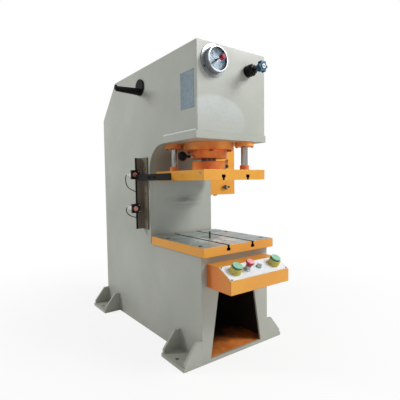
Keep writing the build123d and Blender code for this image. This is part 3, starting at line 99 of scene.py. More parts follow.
world = bpy.data.worlds.new("surround")
scene.world = world
world.use_nodes = True
tree = world.node_tree
tree.nodes.clear()
path = add(tree, "LightPath").outputs
seen = path["Is Camera Ray"]
for ray, part in (("Is Transmission Ray", 1.0), ("Is Glossy Ray", 0.42)):
    seen = joint_math(tree, "MAXIMUM", seen, joint_math(tree, "MULTIPLY", path[ray], part))
dim = add(tree, "Background", {"Color": (1, 0.995, 0.97, 1), "Strength": 0.335}).outputs[0]
white = add(tree, "Background", {"Color": (1, 1, 1, 1)}).outputs[0]
pick = add(tree, "MixShader", {0: seen, 1: dim, 2: white}).outputs[0]
add(tree, "OutputWorld", {0: pick})

# The floor is matt; to the camera it also glows, and fully white away from the press.
bpy.ops.object.select_all(action="DESELECT")
bpy.ops.mesh.primitive_circle_add(vertices=96, radius=20, fill_type="NGON", location=(0, 0, 0))
floor = bpy.context.object
floor.name = "floor"
ground = bpy.data.materials.new("studio_floor")
ground.use_nodes = True
tree = ground.node_tree
tree.nodes.clear()
matt = add(tree, "BsdfDiffuse", {"Color": (0.8, 0.8, 0.79, 1)}).outputs[0]
glow = add(tree, "Emission", {"Color": (1, 1, 1, 1)}).outputs[0]
spot = add(tree, "TexCoord").outputs["Object"]
reach = add(tree, "VectorMath", {0: spot}, operation="LENGTH").outputs["Value"]
share = band(tree, reach, 0.9, 2.4, 0.82, 1.0)
part = joint_math(tree, "MULTIPLY", add(tree, "LightPath").outputs["Is Camera Ray"], share)
pick = add(tree, "MixShader", {0: part, 1: matt, 2: glow}).outputs[0]
add(tree, "OutputMaterial", {0: pick})
floor.data.materials.append(ground)


# Welded frame: plate steel, flame cut, welded and sprayed with pebble-grey enamel. The enamel
# has a faint orange peel, a cloudy tone and rubbed edges, and dust gathers near the floor. The
# inner faces of the side plates only have a dark primer, which also paints the shade inside the
# frame. The throat is darker in a streaky patch under the ram, and the front of the head has a
# paler painted reflection.
def blank(name, rough, metal=0.0):
    """New finish with its shader tree and the place on the piece."""
    finish = bpy.data.materials.new(name)
    finish.use_nodes = True
    tree = finish.node_tree
    shader = tree.nodes["Principled BSDF"]
    shader.inputs["Roughness"].default_value = rough
    shader.inputs["Metallic"].default_value = metal
    return finish, tree, shader, add(tree, "TexCoord").outputs["Object"]


def noise(tree, place, scale, detail, stretch=None):
    """Noise from 0 to 1 at a number of waves per metre, stretched where the grain runs."""
    if stretch:
        place = add(tree, "Mapping", {"Vector": place, "Scale": stretch}).outputs["Vector"]
    inputs = {"Vector": place, "Scale": scale, "Detail": detail}
    return add(tree, "TexNoise", inputs).outputs["Fac"]


def mixed(tree, share, first, second):
    """Mixes two colours, each a plain colour or a socket."""
    made = tree.nodes.new("ShaderNodeMix")
    made.data_type = "RGBA"
    for place, value in ((0, share), (6, first), (7, second)):
        socket = made.inputs[place]
        if isinstance(value, bpy.types.NodeSocket):
            tree.links.new(value, socket)
        else:
            socket.default_value = value if isinstance(value, float) else (*value, 1)
    return made.outputs[2]


def axis_of(tree, place, axis):
    """One coordinate of a place."""
    return add(tree, "SeparateXYZ", {"Vector": place}).outputs[axis]


def blot(tree, place, centre, radius, stretch):
    """Soft oval mask, 1 at a centre and 0 at a radius; a stretch under 1 widens it."""
    moved = add(tree, "VectorMath", {0: place, 1: centre}, operation="SUBTRACT").outputs[0]
    moved = add(tree, "VectorMath", {0: moved, 1: stretch}, operation="MULTIPLY").outputs[0]
    far = add(tree, "VectorMath", {0: moved}, operation="LENGTH").outputs["Value"]
    return band(tree, far, 0.0, radius, 1.0, 0.0)


def worn_edges(tree, radius):
    """Rounded normal of the edges, and how far it leans from the flat: 0 on a face."""
    rounded = add(tree, "Bevel", {"Radius": radius}, samples=4).outputs["Normal"]
    flat = add(tree, "NewGeometry").outputs["Normal"]
    lean = add(tree, "VectorMath", {0: rounded, 1: flat}, operation="DOT_PRODUCT")
    return rounded, band(tree, lean.outputs["Value"], 1.0, 0.8)


def enamel(name, colour, dark, worn, rough=0.38, wear=0.5, peel=0.12, marks=None, shine=0.5):
    """Sprayed enamel over steel; marks, a function, adds what one piece alone has."""
    finish, tree, shader, place = blank(name, rough)
    cloud = band(tree, noise(tree, place, 2.6, 5.0), 0.35, 0.7)
    tone = mixed(tree, cloud, colour, dark)
    speck = band(tree, noise(tree, place, 55, 4.0), 0.56, 0.72, 0.0, 0.35)
    tone = mixed(tree, speck, tone, dark)
    rounded, edge = worn_edges(tree, 0.0025)
    chips = band(tree, noise(tree, place, 90, 5.0), 0.45, 0.62)
    rub = joint_math(tree, "MULTIPLY", joint_math(tree, "MULTIPLY", edge, chips), wear)
    tone = mixed(tree, rub, tone, worn)
    low = band(tree, axis_of(tree, place, "Z"), 0.16, 0.0, 0.0, 0.25)
    dust = joint_math(tree, "MULTIPLY", low, noise(tree, place, 24, 5.0))
    tone = mixed(tree, dust, tone, (0.20, 0.17, 0.13))
    if marks:
        tone = marks(tree, place, tone)
    tree.links.new(tone, shader.inputs["Base Color"])
    gloss = band(tree, noise(tree, place, 7, 4.0), 0.3, 0.7, rough - 0.06, rough + 0.1)
    tree.links.new(gloss, shader.inputs["Roughness"])
    skin = noise(tree, place, 420, 2.0)
    relief = {"Height": skin, "Strength": peel, "Distance": 0.0006, "Normal": rounded}
    bump = add(tree, "Bump", relief)
    tree.links.new(bump.outputs["Normal"], shader.inputs["Normal"])
    shader.inputs["Specular IOR Level"].default_value = shine
    shader.inputs["Coat Weight"].default_value = shine / 4
    shader.inputs["Coat Roughness"].default_value = 0.3
    return finish


def coat(finish, *names):
    """Gives CAD nodes their finish."""
    for name in names:
        nodes[name].data.materials.clear()
        nodes[name].data.materials.append(finish)


def primer_and_shade_inside(tree, place, tone):
    """Dark primer and painted shade on the inner faces of a side plate, 230 mm off the middle."""
    off = joint_math(tree, "ABSOLUTE", axis_of(tree, place, "X"))
    return mixed(tree, band(tree, off, 0.2302, 0.2304, 1.0, 0.0), tone, (0.022, 0.019, 0.015))


def throat_dark_patch(tree, place, tone):
    """A darker streaky patch under the ram, and on the back dark primer that is also a painted shade.
    """
    patch = blot(tree, place, (0.02, -0.10, 0.845), 0.13, (0.75, 1, 1.9))
    streak = band(tree, noise(tree, place, 16, 5.0, (0.5, 1, 2.2)), 0.3, 0.62)
    dirt = joint_math(tree, "MULTIPLY", joint_math(tree, "MULTIPLY", patch, streak), 0.75)
    tone = mixed(tree, dirt, tone, (0.10, 0.105, 0.085))
    back = band(tree, axis_of(tree, place, "Y"), -0.088, -0.086)
    return mixed(tree, back, tone, (0.03, 0.028, 0.024))


def front_painted_sheen(tree, place, tone):
    """A paler dome on the front of the head: a painted reflection."""
    patch = blot(tree, place, (-0.12, -0.63, 1.30), 0.14, (0.64, 0.1, 1))
    strokes = band(tree, noise(tree, place, 30, 5.0, (1, 1, 2)), 0.3, 0.6, 0.45, 0.85)
    fading = band(tree, axis_of(tree, place, "Z"), 1.26, 1.38, 0.3, 1.0)
    dome = joint_math(tree, "MULTIPLY", band(tree, patch, 0.0, 0.12), strokes)
    dome = joint_math(tree, "MULTIPLY", dome, fading)
    return mixed(tree, dome, tone, (0.50, 0.535, 0.53))


GREY_WORN = (0.20, 0.20, 0.17)
GREY = ((0.430, 0.445, 0.400), (0.365, 0.38, 0.335), GREY_WORN)
SIDE_FACE = 0.246
HEAD_FACE = -0.6215
pebble_grey = enamel("pebble_grey_enamel", *GREY)
side_grey = enamel("pebble_grey_side", *GREY, marks=primer_and_shade_inside)
coat(side_grey, "side_plate_left", "side_plate_right")
coat(enamel("pebble_grey_throat", *GREY, marks=throat_dark_patch), "throat_plate")
coat(enamel("pebble_grey_front", *GREY, marks=front_painted_sheen), "head_front_plate")
coat(pebble_grey, "head_base_plate", "top_plate", "rear_plate")
coat(pebble_grey, "lower_front_plate", "bed_plate", "feet")


# Weld beads: fillets along the feet, their gussets and the top of the thick base plate of the
# head, laid by hand in small ripples and painted over. Those of the head are paler: a painted
# highlight where the seam catches the light.
def weld(start, end, radius=0.0045, pitch=0.0045):
    """One rippled bead: a ripple is modelled once and repeated along the seam."""
    start, end = Vector(start), Vector(end)
    bpy.ops.object.select_all(action="DESELECT")
    bpy.ops.mesh.primitive_circle_add(vertices=10, radius=radius * 0.82)
    bead = bpy.context.object
    bpy.ops.object.mode_set(mode="EDIT")
    for ratio in (1.22, 1 / 1.22):
        bpy.ops.mesh.extrude_region_move(TRANSFORM_OT_translate={"value": (0, 0, pitch / 2)})
        bpy.ops.transform.resize(value=(ratio, ratio, 1))
    bpy.ops.object.mode_set(mode="OBJECT")
    row = bead.modifiers.new("row", "ARRAY")
    row.use_relative_offset = False
    row.use_constant_offset = True
    row.constant_offset_displace = (0, 0, pitch)
    row.count = max(2, int((end - start).length / pitch))
    row.use_merge_vertices = True
    row.merge_threshold = 0.0002
    bpy.ops.object.modifier_apply(modifier="row")
    bpy.ops.object.mode_set(mode="EDIT")
    bpy.ops.mesh.select_all(action="SELECT")
    bpy.ops.mesh.fill_holes(sides=12)
    bpy.ops.mesh.select_all(action="SELECT")
    bpy.ops.mesh.normals_make_consistent(inside=False)
    bpy.ops.object.mode_set(mode="OBJECT")
    along = (end - start).to_track_quat("Z", "Y").to_matrix().to_4x4()
    bead.matrix_world = Matrix.Translation(start) @ along
    return bead


def settle(piece, place, finish, body, slot, bevel=0.0, angle=35):
    """Bevels, smooths and places a piece, gives it its finish and fixes it to its body."""
    bpy.ops.object.select_all(action="DESELECT")
    piece.select_set(True)
    bpy.context.view_layer.objects.active = piece
    if bevel:
        edge = piece.modifiers.new("edge", "BEVEL")
        edge.width = bevel
        edge.segments = 2
        edge.limit_method = "ANGLE"
        bpy.ops.object.modifier_apply(modifier="edge")
    bpy.ops.object.shade_smooth_by_angle(angle=math.radians(angle))
    piece.matrix_world = place @ piece.matrix_world
    bpy.ops.object.transform_apply(location=True, rotation=True, scale=True)
    piece.data.materials.clear()
    piece.data.materials.append(finish)
    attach(piece, body)
    return piece


def joined(name, pieces):
    """Makes one piece of several."""
    bpy.ops.object.select_all(action="DESELECT")
    for piece in pieces:
        piece.select_set(True)
    bpy.context.view_layer.objects.active = pieces[0]
    bpy.ops.object.transform_apply(location=True, rotation=True, scale=True)
    bpy.ops.object.join()
    pieces[0].name = name
    return pieces[0]


FOOT_TOP, GUSSET_TIP, GUSSET_TOP = 0.020, 0.355, 0.130
LIP_LEVEL, LIP_RADIUS, LIP_PITCH = 1.2415, 0.009, 0.007
in_place = Matrix.Identity(4)
beads = []
lips = []
for side in (-1, 1):
    root = side * SIDE_FACE
    for near, far in ((-0.6205, -0.4275), (0.4275, 0.6205)):
        beads.append(weld((root, near, FOOT_TOP), (root, far, FOOT_TOP)))
        for y in (near, far):
            beads.append(weld((root, y, FOOT_TOP), (side * GUSSET_TIP, y, FOOT_TOP)))
            beads.append(weld((root, y, FOOT_TOP), (root, y, GUSSET_TOP)))
    ends = [(root, y, LIP_LEVEL) for y in (-0.6160, -0.2825)]
    lips.append(weld(*ends, LIP_RADIUS, LIP_PITCH))
settle(joined("weld_beads", beads), in_place, pebble_grey, "frame", "frame_grey", angle=60)
# The paler seam of the head is a painted highlight.
seam_painted_highlight = enamel("seam_painted_highlight", (0.80, 0.83, 0.80), (0.66, 0.69, 0.65), GREY_WORN, 0.3, 0.2)
settle(joined("head_lip_beads", lips), in_place, seam_painted_highlight, "frame", "frame_grey", angle=60)


# Data plate: a bare aluminium sheet with a pressed border, riveted at its corners to the left
# side of the head near its front edge.
def metal(name, colour, dark, rough, grain=None, stain=0.5, mottle=14):
    """Bare or plated metal with a grain, tarnish in patches and uneven gloss."""
    finish, tree, shader, place = blank(name, rough, 1.0)
    streak = noise(tree, place, 120, 4.0, grain)
    patch = band(tree, noise(tree, place, mottle, 5.0), 0.42, 0.68, 0.0, stain)
    tone = mixed(tree, patch, colour, dark)
    tone = mixed(tree, band(tree, streak, 0.4, 0.8, 0.0, 0.35), tone, dark)
    tree.links.new(tone, shader.inputs["Base Color"])
    gloss = band(tree, streak, 0.25, 0.75, max(0.03, rough - 0.06), rough + 0.1)
    spread = band(tree, noise(tree, place, mottle / 2, 4.0), 0.35, 0.7, 0.0, 0.12)
    tree.links.new(joint_math(tree, "ADD", gloss, spread), shader.inputs["Roughness"])
    ripple = add(tree, "Bump", {"Height": streak, "Strength": 0.1, "Distance": 0.0002})
    tree.links.new(ripple.outputs["Normal"], shader.inputs["Normal"])
    return finish


def cut_block(name, size, bevel=0.0, inset=0.0, sink=0.0):
    """A block on its base, if wanted with rounded corners or a panel pressed into its top."""
    bpy.ops.object.select_all(action="DESELECT")
    bpy.ops.mesh.primitive_cube_add(size=1, location=(0, 0, size[2] / 2))
    piece = bpy.context.object
    piece.name = name
    piece.scale = size
    bpy.ops.object.transform_apply(location=True, rotation=False, scale=True)
    if bevel:
        corners = piece.modifiers.new("corners", "BEVEL")
        corners.width = bevel
        corners.segments = 2
        bpy.ops.object.modifier_apply(modifier="corners")
    if inset:
        top = max(piece.data.polygons, key=lambda face: face.center.z)
        for face in piece.data.polygons:
            face.select = face.index == top.index
        for edge in piece.data.edges:
            edge.select = False
        for point in piece.data.vertices:
            point.select = point.index in top.vertices
        bpy.ops.object.mode_set(mode="EDIT")
        bpy.ops.mesh.select_mode(type="FACE")
        bpy.ops.mesh.inset(thickness=inset)
        bpy.ops.mesh.extrude_region_move(TRANSFORM_OT_translate={"value": (0, 0, -sink)})
        bpy.ops.object.mode_set(mode="OBJECT")
    return piece


def lathed(name, steps, sides):
    """A turned piece: a disc at the first radius, drawn out step by step along Z."""
    bpy.ops.object.select_all(action="DESELECT")
    radius, height = steps[0]
    bpy.ops.mesh.primitive_circle_add(
        vertices=sides, radius=radius, fill_type="NGON", location=(0, 0, 0)
    )
    piece = bpy.context.object
    piece.name = name
    bpy.ops.object.mode_set(mode="EDIT")
    bpy.ops.transform.translate(value=(0, 0, height))
    for wider, higher in steps[1:]:
        move = {"value": (0, 0, higher - height)}
        bpy.ops.mesh.extrude_region_move(TRANSFORM_OT_translate=move)
        bpy.ops.transform.resize(value=(wider / radius, wider / radius, 1))
        radius, height = wider, higher
    bpy.ops.mesh.select_all(action="SELECT")
    bpy.ops.mesh.normals_make_consistent(inside=False)
    bpy.ops.object.mode_set(mode="OBJECT")
    return piece


SLOPE = math.radians(29.27)


def facing(axis, x, y, z):
    """Place whose local Z points out of a face: front, back, left or slope."""
    tilt = {
        "front": Matrix.Rotation(math.radians(90), 4, "X"),
        "back": Matrix.Rotation(math.radians(-90), 4, "X"),
        "left": Matrix.Rotation(math.radians(-90), 4, "Y"),
        "slope": Matrix.Rotation(SLOPE, 4, "X"),
    }[axis]
    return Matrix.Translation((x, y, z)) @ tilt


def repeated(name, steps, sides, places, *settled, **more):
    """Turns a small piece once, copies it to its places and settles all as one piece."""
    first = lathed(name, steps, sides)
    copies = []
    for place in places:
        copy = first.copy()
        copy.data = first.data.copy()
        copy.matrix_world = place
        scene.collection.objects.link(copy)
        copies.append(copy)
    bpy.data.objects.remove(first)
    return settle(joined(name, copies), in_place, *settled, **more)


plate_tin = metal(
    "data_plate_aluminium", (0.30, 0.37, 0.42), (0.20, 0.26, 0.30), 0.55, (1, 12, 1), 0.6, 60
)
plate_tin.node_tree.nodes["Principled BSDF"].inputs["Metallic"].default_value = 0.25
TAG_THICK = 0.0012
tag = cut_block("data_plate", (0.197, 0.126, TAG_THICK), inset=0.005, sink=0.0004)
tag_place = facing("left", -SIDE_FACE, -0.5315, 1.4595)
settle(tag, tag_place, plate_tin, "frame", "zinc_steel", 0.0003)
corners = [(y, z) for y in (-0.5895, -0.4735) for z in (1.3660, 1.5530)]
repeated(
    "data_plate_rivets",
    [(0.0026, 0.0), (0.0026, 0.0014), (0.0018, 0.0022), (0.0006, 0.0025)], 16,
    [facing("left", -SIDE_FACE - TAG_THICK, y, z) for y, z in corners],
    plate_tin, "frame", "zinc_steel",
)

# Lifting pegs: tapered forged pegs between a guard disc and a keeper, painted black, with
# the paint rubbed where slings lie.
BLACK = ((0.006, 0.006, 0.007), (0.010, 0.010, 0.009), (0.05, 0.048, 0.045))
black_paint = enamel("black_enamel", *BLACK, 0.42, 0.6, shine=0.12)
coat(black_paint, "lifting_pegs")


# Chute: one folded steel sheet welded into the lower front, sprayed orange, with rusty blotches,
# and a painted shade that darkens it towards its inner end.
def chute_rust_and_shade(tree, place, tone):
    """Rusty blotches in front, and painted shade that thickens inwards."""
    inward_shade = band(tree, axis_of(tree, place, "Y"), -0.57, -0.34)
    uneven = band(tree, noise(tree, place, 9, 5.0), 0.3, 0.7, -0.22, 0.22)
    share = band(tree, joint_math(tree, "ADD", inward_shade, uneven), 0.0, 0.75)
    blotches = band(tree, noise(tree, place, 30, 5.0), 0.4, 0.62)
    rust = mixed(tree, blotches, tone, (0.62, 0.17, 0.030))
    return mixed(tree, share, rust, (0.028, 0.015, 0.010))


ORANGE_WORN = (0.20, 0.10, 0.045)
ORANGE = ((0.79, 0.37, 0.045), (0.71, 0.29, 0.030), ORANGE_WORN)
chute_paint = enamel(
    "chute_orange", (0.95, 0.30, 0.050), (0.74, 0.19, 0.03), ORANGE_WORN, 0.45, marks=chute_rust_and_shade
)
coat(chute_paint, "chute_floor")


# Table: a planed steel bolster held by four screws. Its top is ground bright and slightly
# stained, with a painted reflection in its middle; its sides are sprayed orange, and the two
# T-slots are dark with oil and painted shade.
SLOT_MIDDLE = 0.090
SLOT_SIDES = (0.0768, 0.1032)


def between(tree, value, low, high):
    """1 between two limits and 0 outside them, with narrow soft edges."""
    above = band(tree, value, low, low + 0.0002)
    below = band(tree, value, high, high + 0.0002, 1.0, 0.0)
    return joint_math(tree, "MULTIPLY", above, below)


def ground_top(name, surface, slot_run, slot_levels, under=False):
    """Orange sides, a face ground at one level with a painted reflection in its middle, and two slots
    along Y, dark with oil and painted shade.
    """
    finish = enamel(name, *ORANGE, 0.33)
    tree = finish.node_tree
    shader = tree.nodes["Principled BSDF"]
    place = add(tree, "TexCoord").outputs["Object"]
    height = axis_of(tree, place, "Z")
    bare = band(tree, height, surface - 0.0004, surface - 0.0003)
    if under:
        bare = band(tree, height, surface + 0.0003, surface + 0.0004, 1.0, 0.0)
    lines = noise(tree, place, 70, 5.0, (0.25, 6, 1))
    stain = band(tree, noise(tree, place, 11, 6.0), 0.42, 0.66)
    steel = mixed(tree, stain, (0.56, 0.62, 0.62), (0.30, 0.37, 0.37))
    steel = mixed(tree, band(tree, lines, 0.45, 0.8, 0.0, 0.5), steel, (0.80, 0.85, 0.88))
    # A paler patch in the middle of the ground face is a painted reflection.
    mid_painted_glare = band(tree, blot(tree, place, (-0.03, -0.49, surface), 0.20, (1.3, 1, 1)), 0.0, 0.6)
    uneven = band(tree, noise(tree, place, 20, 5.0), 0.35, 0.55)
    steel = mixed(tree, joint_math(tree, "MULTIPLY", mid_painted_glare, uneven), steel, (0.97, 1.0, 1.0))
    bruise = band(tree, noise(tree, place, 34, 6.0), 0.60, 0.68, 0.0, 0.6)
    steel = mixed(tree, bruise, steel, (0.10, 0.10, 0.09))
    painted = shader.inputs["Base Color"].links[0].from_socket
    tone = mixed(tree, bare, painted, steel)
    across = joint_math(tree, "ABSOLUTE", axis_of(tree, place, "X"))
    inside = between(tree, across, *SLOT_SIDES)
    ends = between(tree, axis_of(tree, place, "Y"), *slot_run)
    levels = between(tree, height, *slot_levels)
    slot = joint_math(tree, "MULTIPLY", joint_math(tree, "MULTIPLY", inside, ends), levels)
    off_slot = joint_math(tree, "ABSOLUTE", joint_math(tree, "SUBTRACT", across, SLOT_MIDDLE))
    crept = joint_math(tree, "MULTIPLY", band(tree, off_slot, 0.0080, 0.0105, 1.0, 0.0), bare)
    slot = joint_math(tree, "MAXIMUM", slot, joint_math(tree, "MULTIPLY", crept, ends))
    # The slot faces are dark with oil and painted shade, and lose their gloss.
    tone = mixed(tree, slot, tone, (0.020, 0.006, 0.005))
    tree.links.new(band(tree, slot, 0.0, 1.0, 0.5, 0.02), shader.inputs["Specular IOR Level"])
    tree.links.new(tone, shader.inputs["Base Color"])
    shiny = joint_math(tree, "MAXIMUM", joint_math(tree, "SUBTRACT", bare, slot), 0.0)
    tree.links.new(band(tree, shiny, 0.0, 1.0, 0.0, 0.92), shader.inputs["Metallic"])
    polish = band(tree, noise(tree, place, 6, 5.0), 0.32, 0.68, 0.24, 0.46)
    old = shader.inputs["Roughness"].links[0].from_socket
    gloss = add(tree, "Mix", {0: bare, 2: old, 3: polish}).outputs[0]
    tree.links.new(gloss, shader.inputs["Roughness"])
    return finish


TABLE_TOP = 0.632
coat(
    ground_top("table_steel_and_orange", TABLE_TOP, (-0.6742, -0.1278), (0.5998, 0.6316)),
    "table_plate",
)
black_oxide = metal(
    "black_oxide_steel", (0.045, 0.045, 0.05), (0.02, 0.02, 0.02), 0.36, stain=0.6, mottle=60
)
coat(black_oxide, "table_screws")


# Centre plug of the table: a turned steel disc, pressed in and ground flush, with an upright
# black pin in it.
def plug_steel(name):
    """Turned steel up to the table's top, and black above it."""
    finish, tree, shader, place = blank(name, 0.35)
    up = band(tree, axis_of(tree, place, "Z"), 0.6324, 0.6328)
    middle = (0, -0.3955, TABLE_TOP)
    rings = add(tree, "VectorMath", {0: place, 1: middle}, operation="DISTANCE").outputs["Value"]
    turned_lines = noise(tree, add(tree, "CombineXYZ", {"X": rings}).outputs[0], 900, 2.0)
    steel = mixed(tree, turned_lines, (0.30, 0.34, 0.35), (0.52, 0.56, 0.58))
    stain = band(tree, noise(tree, place, 40, 5.0), 0.48, 0.62, 0.0, 0.6)
    steel = mixed(tree, stain, steel, (0.16, 0.19, 0.19))
    tree.links.new(mixed(tree, up, steel, (0.012, 0.012, 0.013)), shader.inputs["Base Color"])
    tree.links.new(band(tree, up, 0.0, 1.0, 0.9, 0.2), shader.inputs["Metallic"])
    return finish


coat(plug_steel("table_plug_steel"), "table_plug")


# Cylinder: flanged barrel and gland, cast steel sprayed orange with the bolts in place, their
# orange darkened as painted shade under the flange. Lower down the paint is redder in patches.
def redder_lower_down(tree, place, tone):
    """Patches of deeper red that thicken downwards."""
    film = band(tree, noise(tree, place, 12, 5.0), 0.36, 0.62, 0.0, 0.85)
    low = band(tree, axis_of(tree, place, "Z"), 1.24, 1.16)
    return mixed(tree, joint_math(tree, "MULTIPLY", film, low), tone, (0.72, 0.15, 0.025))


CAST = ((0.97, 0.41, 0.078), (0.90, 0.29, 0.052), ORANGE_WORN)
cast_orange = enamel("cast_orange_enamel", *CAST, 0.34, peel=0.3, marks=redder_lower_down)
coat(cast_orange, "cylinder_barrel", "cylinder_gland", "guide_housings", "ram_bosses")
# The bolts' darker orange is painted shade under the flange.
BOLT_SHADED = ((0.42, 0.10, 0.028), (0.24, 0.05, 0.018), (0.08, 0.05, 0.04))
bolt_shaded_orange = enamel("bolts_orange_painted_shade", *BOLT_SHADED, 0.4, 0.8)
coat(bolt_shaded_orange, "head_bolts")


# Piston rod and guide rods: ground, hard-chromed bar with a thin film of oil that has gone
# brown on the piston rod, whose dark tone is also a painted shade. The guides run in bronze bushes.
def chromed(name, colour, dark, rough, film):
    """Plated metal with darker runs of oil down it."""
    finish, tree, shader, place = blank(name, rough, 1.0)
    drip = noise(tree, place, 40, 4.0, (1, 1, 0.18))
    tone = mixed(tree, band(tree, drip, 0.45, 0.7, 0.0, film), colour, dark)
    tree.links.new(tone, shader.inputs["Base Color"])
    tree.links.new(band(tree, drip, 0.3, 0.7, rough, rough + 0.14), shader.inputs["Roughness"])
    fine = noise(tree, place, 600, 2.0, (1, 1, 4))
    ripple = add(tree, "Bump", {"Height": fine, "Strength": 0.04, "Distance": 0.0001})
    tree.links.new(ripple.outputs["Normal"], shader.inputs["Normal"])
    return finish


# The piston rod's dark brown is partly oil and partly painted shade.
rod_brown_painted_shade = chromed("piston_rod_chrome", (0.16, 0.13, 0.11), (0.05, 0.03, 0.02), 0.22, 0.8)
coat(rod_brown_painted_shade, "piston_rod")
rod_chrome = chromed("guide_rod_chrome", (0.50, 0.49, 0.47), (0.22, 0.18, 0.15), 0.16, 0.5)
coat(rod_chrome, "guide_rods")
coat(metal("bushing_bronze", (0.60, 0.40, 0.17), (0.34, 0.20, 0.08), 0.35), "guide_bushes")


# Seals of the cylinder: moulded rings of black nitrile rubber, matt with fine pores, pressed
# into their grooves.
def rubber(name, colour):
    """Matt rubber with a grey bloom and pores."""
    finish, tree, shader, place = blank(name, 0.6)
    bloom = band(tree, noise(tree, place, 26, 4.0), 0.45, 0.7, 0.0, 0.5)
    grey = tuple(min(1.0, part * 2.2 + 0.01) for part in colour)
    tree.links.new(mixed(tree, bloom, colour, grey), shader.inputs["Base Color"])
    pores = noise(tree, place, 1100, 2.0)
    bump = add(tree, "Bump", {"Height": pores, "Strength": 0.15, "Distance": 0.0002})
    tree.links.new(bump.outputs["Normal"], shader.inputs["Normal"])
    return finish


black_rubber = rubber("black_nitrile", (0.012, 0.012, 0.012))
coat(black_rubber, "cylinder_seals")


# Locking plunger: a zinc-plated sleeve screwed into the gland, and in it a sprung pin with a
# moulded black ball knob.
def moulded(name, colour, rough, mottle=0.12, scuffs=0.5, top=None, shine=0.5):
    """Moulded plastic: even colour, faint flow marks, fine scuffs and a soft skin."""
    finish, tree, shader, place = blank(name, rough)
    deep = tuple(part * (1 - mottle * 2.5) for part in colour)
    flow = band(tree, noise(tree, place, 45, 3.0), 0.35, 0.7)
    tone = mixed(tree, flow, colour, deep)
    fine = band(tree, noise(tree, place, 260, 5.0, (1, 3, 1)), 0.63, 0.72, 0.0, 0.35 * scuffs)
    pale = tuple(min(1.0, part * 0.6 + 0.6 * shine) for part in colour)
    tone = mixed(tree, fine, tone, pale)
    shader.inputs["Specular IOR Level"].default_value = shine
    if top:
        tone = top(tree, place, tone)
    tree.links.new(tone, shader.inputs["Base Color"])
    gloss = band(tree, noise(tree, place, 70, 4.0), 0.3, 0.7, rough - 0.05, rough + 0.12)
    tree.links.new(gloss, shader.inputs["Roughness"])
    skin = noise(tree, place, 900, 2.0)
    bump = add(tree, "Bump", {"Height": skin, "Strength": 0.06, "Distance": 0.0002})
    tree.links.new(bump.outputs["Normal"], shader.inputs["Normal"])
    return finish


zinc = metal("zinc_plate", (0.50, 0.50, 0.47), (0.30, 0.30, 0.27), 0.34, stain=0.6, mottle=40)
coat(zinc, "catch_sleeve")
knob_black = moulded("black_ball_knob", (0.004, 0.004, 0.005), 0.34, scuffs=0.1, shine=0.14)
coat(knob_black, "catch_plunger")


# Ram plate: planed steel sprayed orange, ground underneath with a painted reflection in the
# middle, and with two T-slots dark with oil and painted shade. A bright plug screw closes the
# lubrication hole in its left edge.
ram_finish = ground_top(
    "ram_orange_and_steel", 0.980, (-0.6400, -0.1510), (0.9798, 1.0102), under=True
)
coat(ram_finish, "ram_plate")
plug = lathed(
    "ram_plug_screw",
    [(0.0065, 0.0), (0.0065, 0.0015), (0.0058, 0.0022), (0.0034, 0.0022), (0.0032, 0.0006)], 24,
)
settle(plug, facing("left", -0.226, -0.611, 1.019), zinc, "ram", "zinc_steel")

# Pointer bar: flat steel bar sprayed black, held by two socket screws on the left edge of the
# ram plate.
coat(black_paint, "pointer_bar")
repeated(
    "pointer_bar_screws",
    [(0.0075, 0.0), (0.0075, 0.006), (0.0068, 0.007), (0.0040, 0.007), (0.0038, 0.003)], 20,
    [facing("left", -0.3137, y, 1.0025) for y in (-0.270, -0.210)],
    black_oxide, "ram", "black_steel",
)


# Control box: folded sheet sprayed orange, hung on the front of the bed. Its sloping face is
# a white plate held by four small screws.
def left_end_painted_shade(tree, place, tone):
    """The left end of the box is painted redder as shade, more so towards the back."""
    end = band(tree, axis_of(tree, place, "X"), -0.2112, -0.2108, 1.0, 0.0)
    fade = band(tree, axis_of(tree, place, "Y"), -0.80, -0.66, 0.55, 0.95)
    return mixed(tree, joint_math(tree, "MULTIPLY", end, fade), tone, (0.66, 0.155, 0.020))


coat(enamel("panel_orange", *ORANGE, 0.30, 0.7, marks=left_end_painted_shade), "panel_box")


def face_marks(tree, place, tone):
    """Greyish patches where hands have rubbed the white plate."""
    grime = band(tree, noise(tree, place, 30, 5.0), 0.5, 0.75, 0.0, 0.3)
    return mixed(tree, grime, tone, (0.50, 0.51, 0.50))


WHITE = ((0.83, 0.86, 0.88), (0.77, 0.80, 0.83), (0.45, 0.45, 0.44))
white_plate = enamel("white_face_plate", *WHITE, 0.30, 0.4, 0.05, face_marks)
coat(white_plate, "panel_face")
slope_top = Vector((0, -0.7305, 0.5395))
DEVICE_ROW = 0.056
down_slope = Vector((0, -math.cos(SLOPE), -math.sin(SLOPE)))
off_slope = Vector((0, -math.sin(SLOPE), math.cos(SLOPE)))


def on_panel(x, down, lift):
    """Place over the sloping face, a distance down from its top edge and one off it."""
    spot = slope_top + down_slope * down + off_slope * lift
    return facing("slope", x, spot.y, spot.z)


repeated(
    "panel_screws",
    [(0.0042, 0.0), (0.0042, 0.0012), (0.0034, 0.0024), (0.0018, 0.0026), (0.0016, 0.0014)], 20,
    [on_panel(x, down, 0.0025) for x in (-0.199, 0.199) for down in (0.011, 0.103)],
    black_oxide, "frame", "black_steel",
)

# Palm buttons: moulded green caps that slide in olive-yellow guard rings. A cap has a pale top
# with a raised lip, and a skirt darkened with a painted shadow.
coat(moulded("guard_ring_yellow", (0.60, 0.48, 0.080), 0.34, 0.10), "palm_button_rings")


def above_slope(tree, place):
    """How far a place stands off the sloping face."""
    off = add(tree, "VectorMath", {0: place, 1: tuple(slope_top)}, operation="SUBTRACT").outputs[0]
    lift = add(tree, "VectorMath", {0: off, 1: tuple(off_slope)}, operation="DOT_PRODUCT")
    return lift.outputs["Value"]


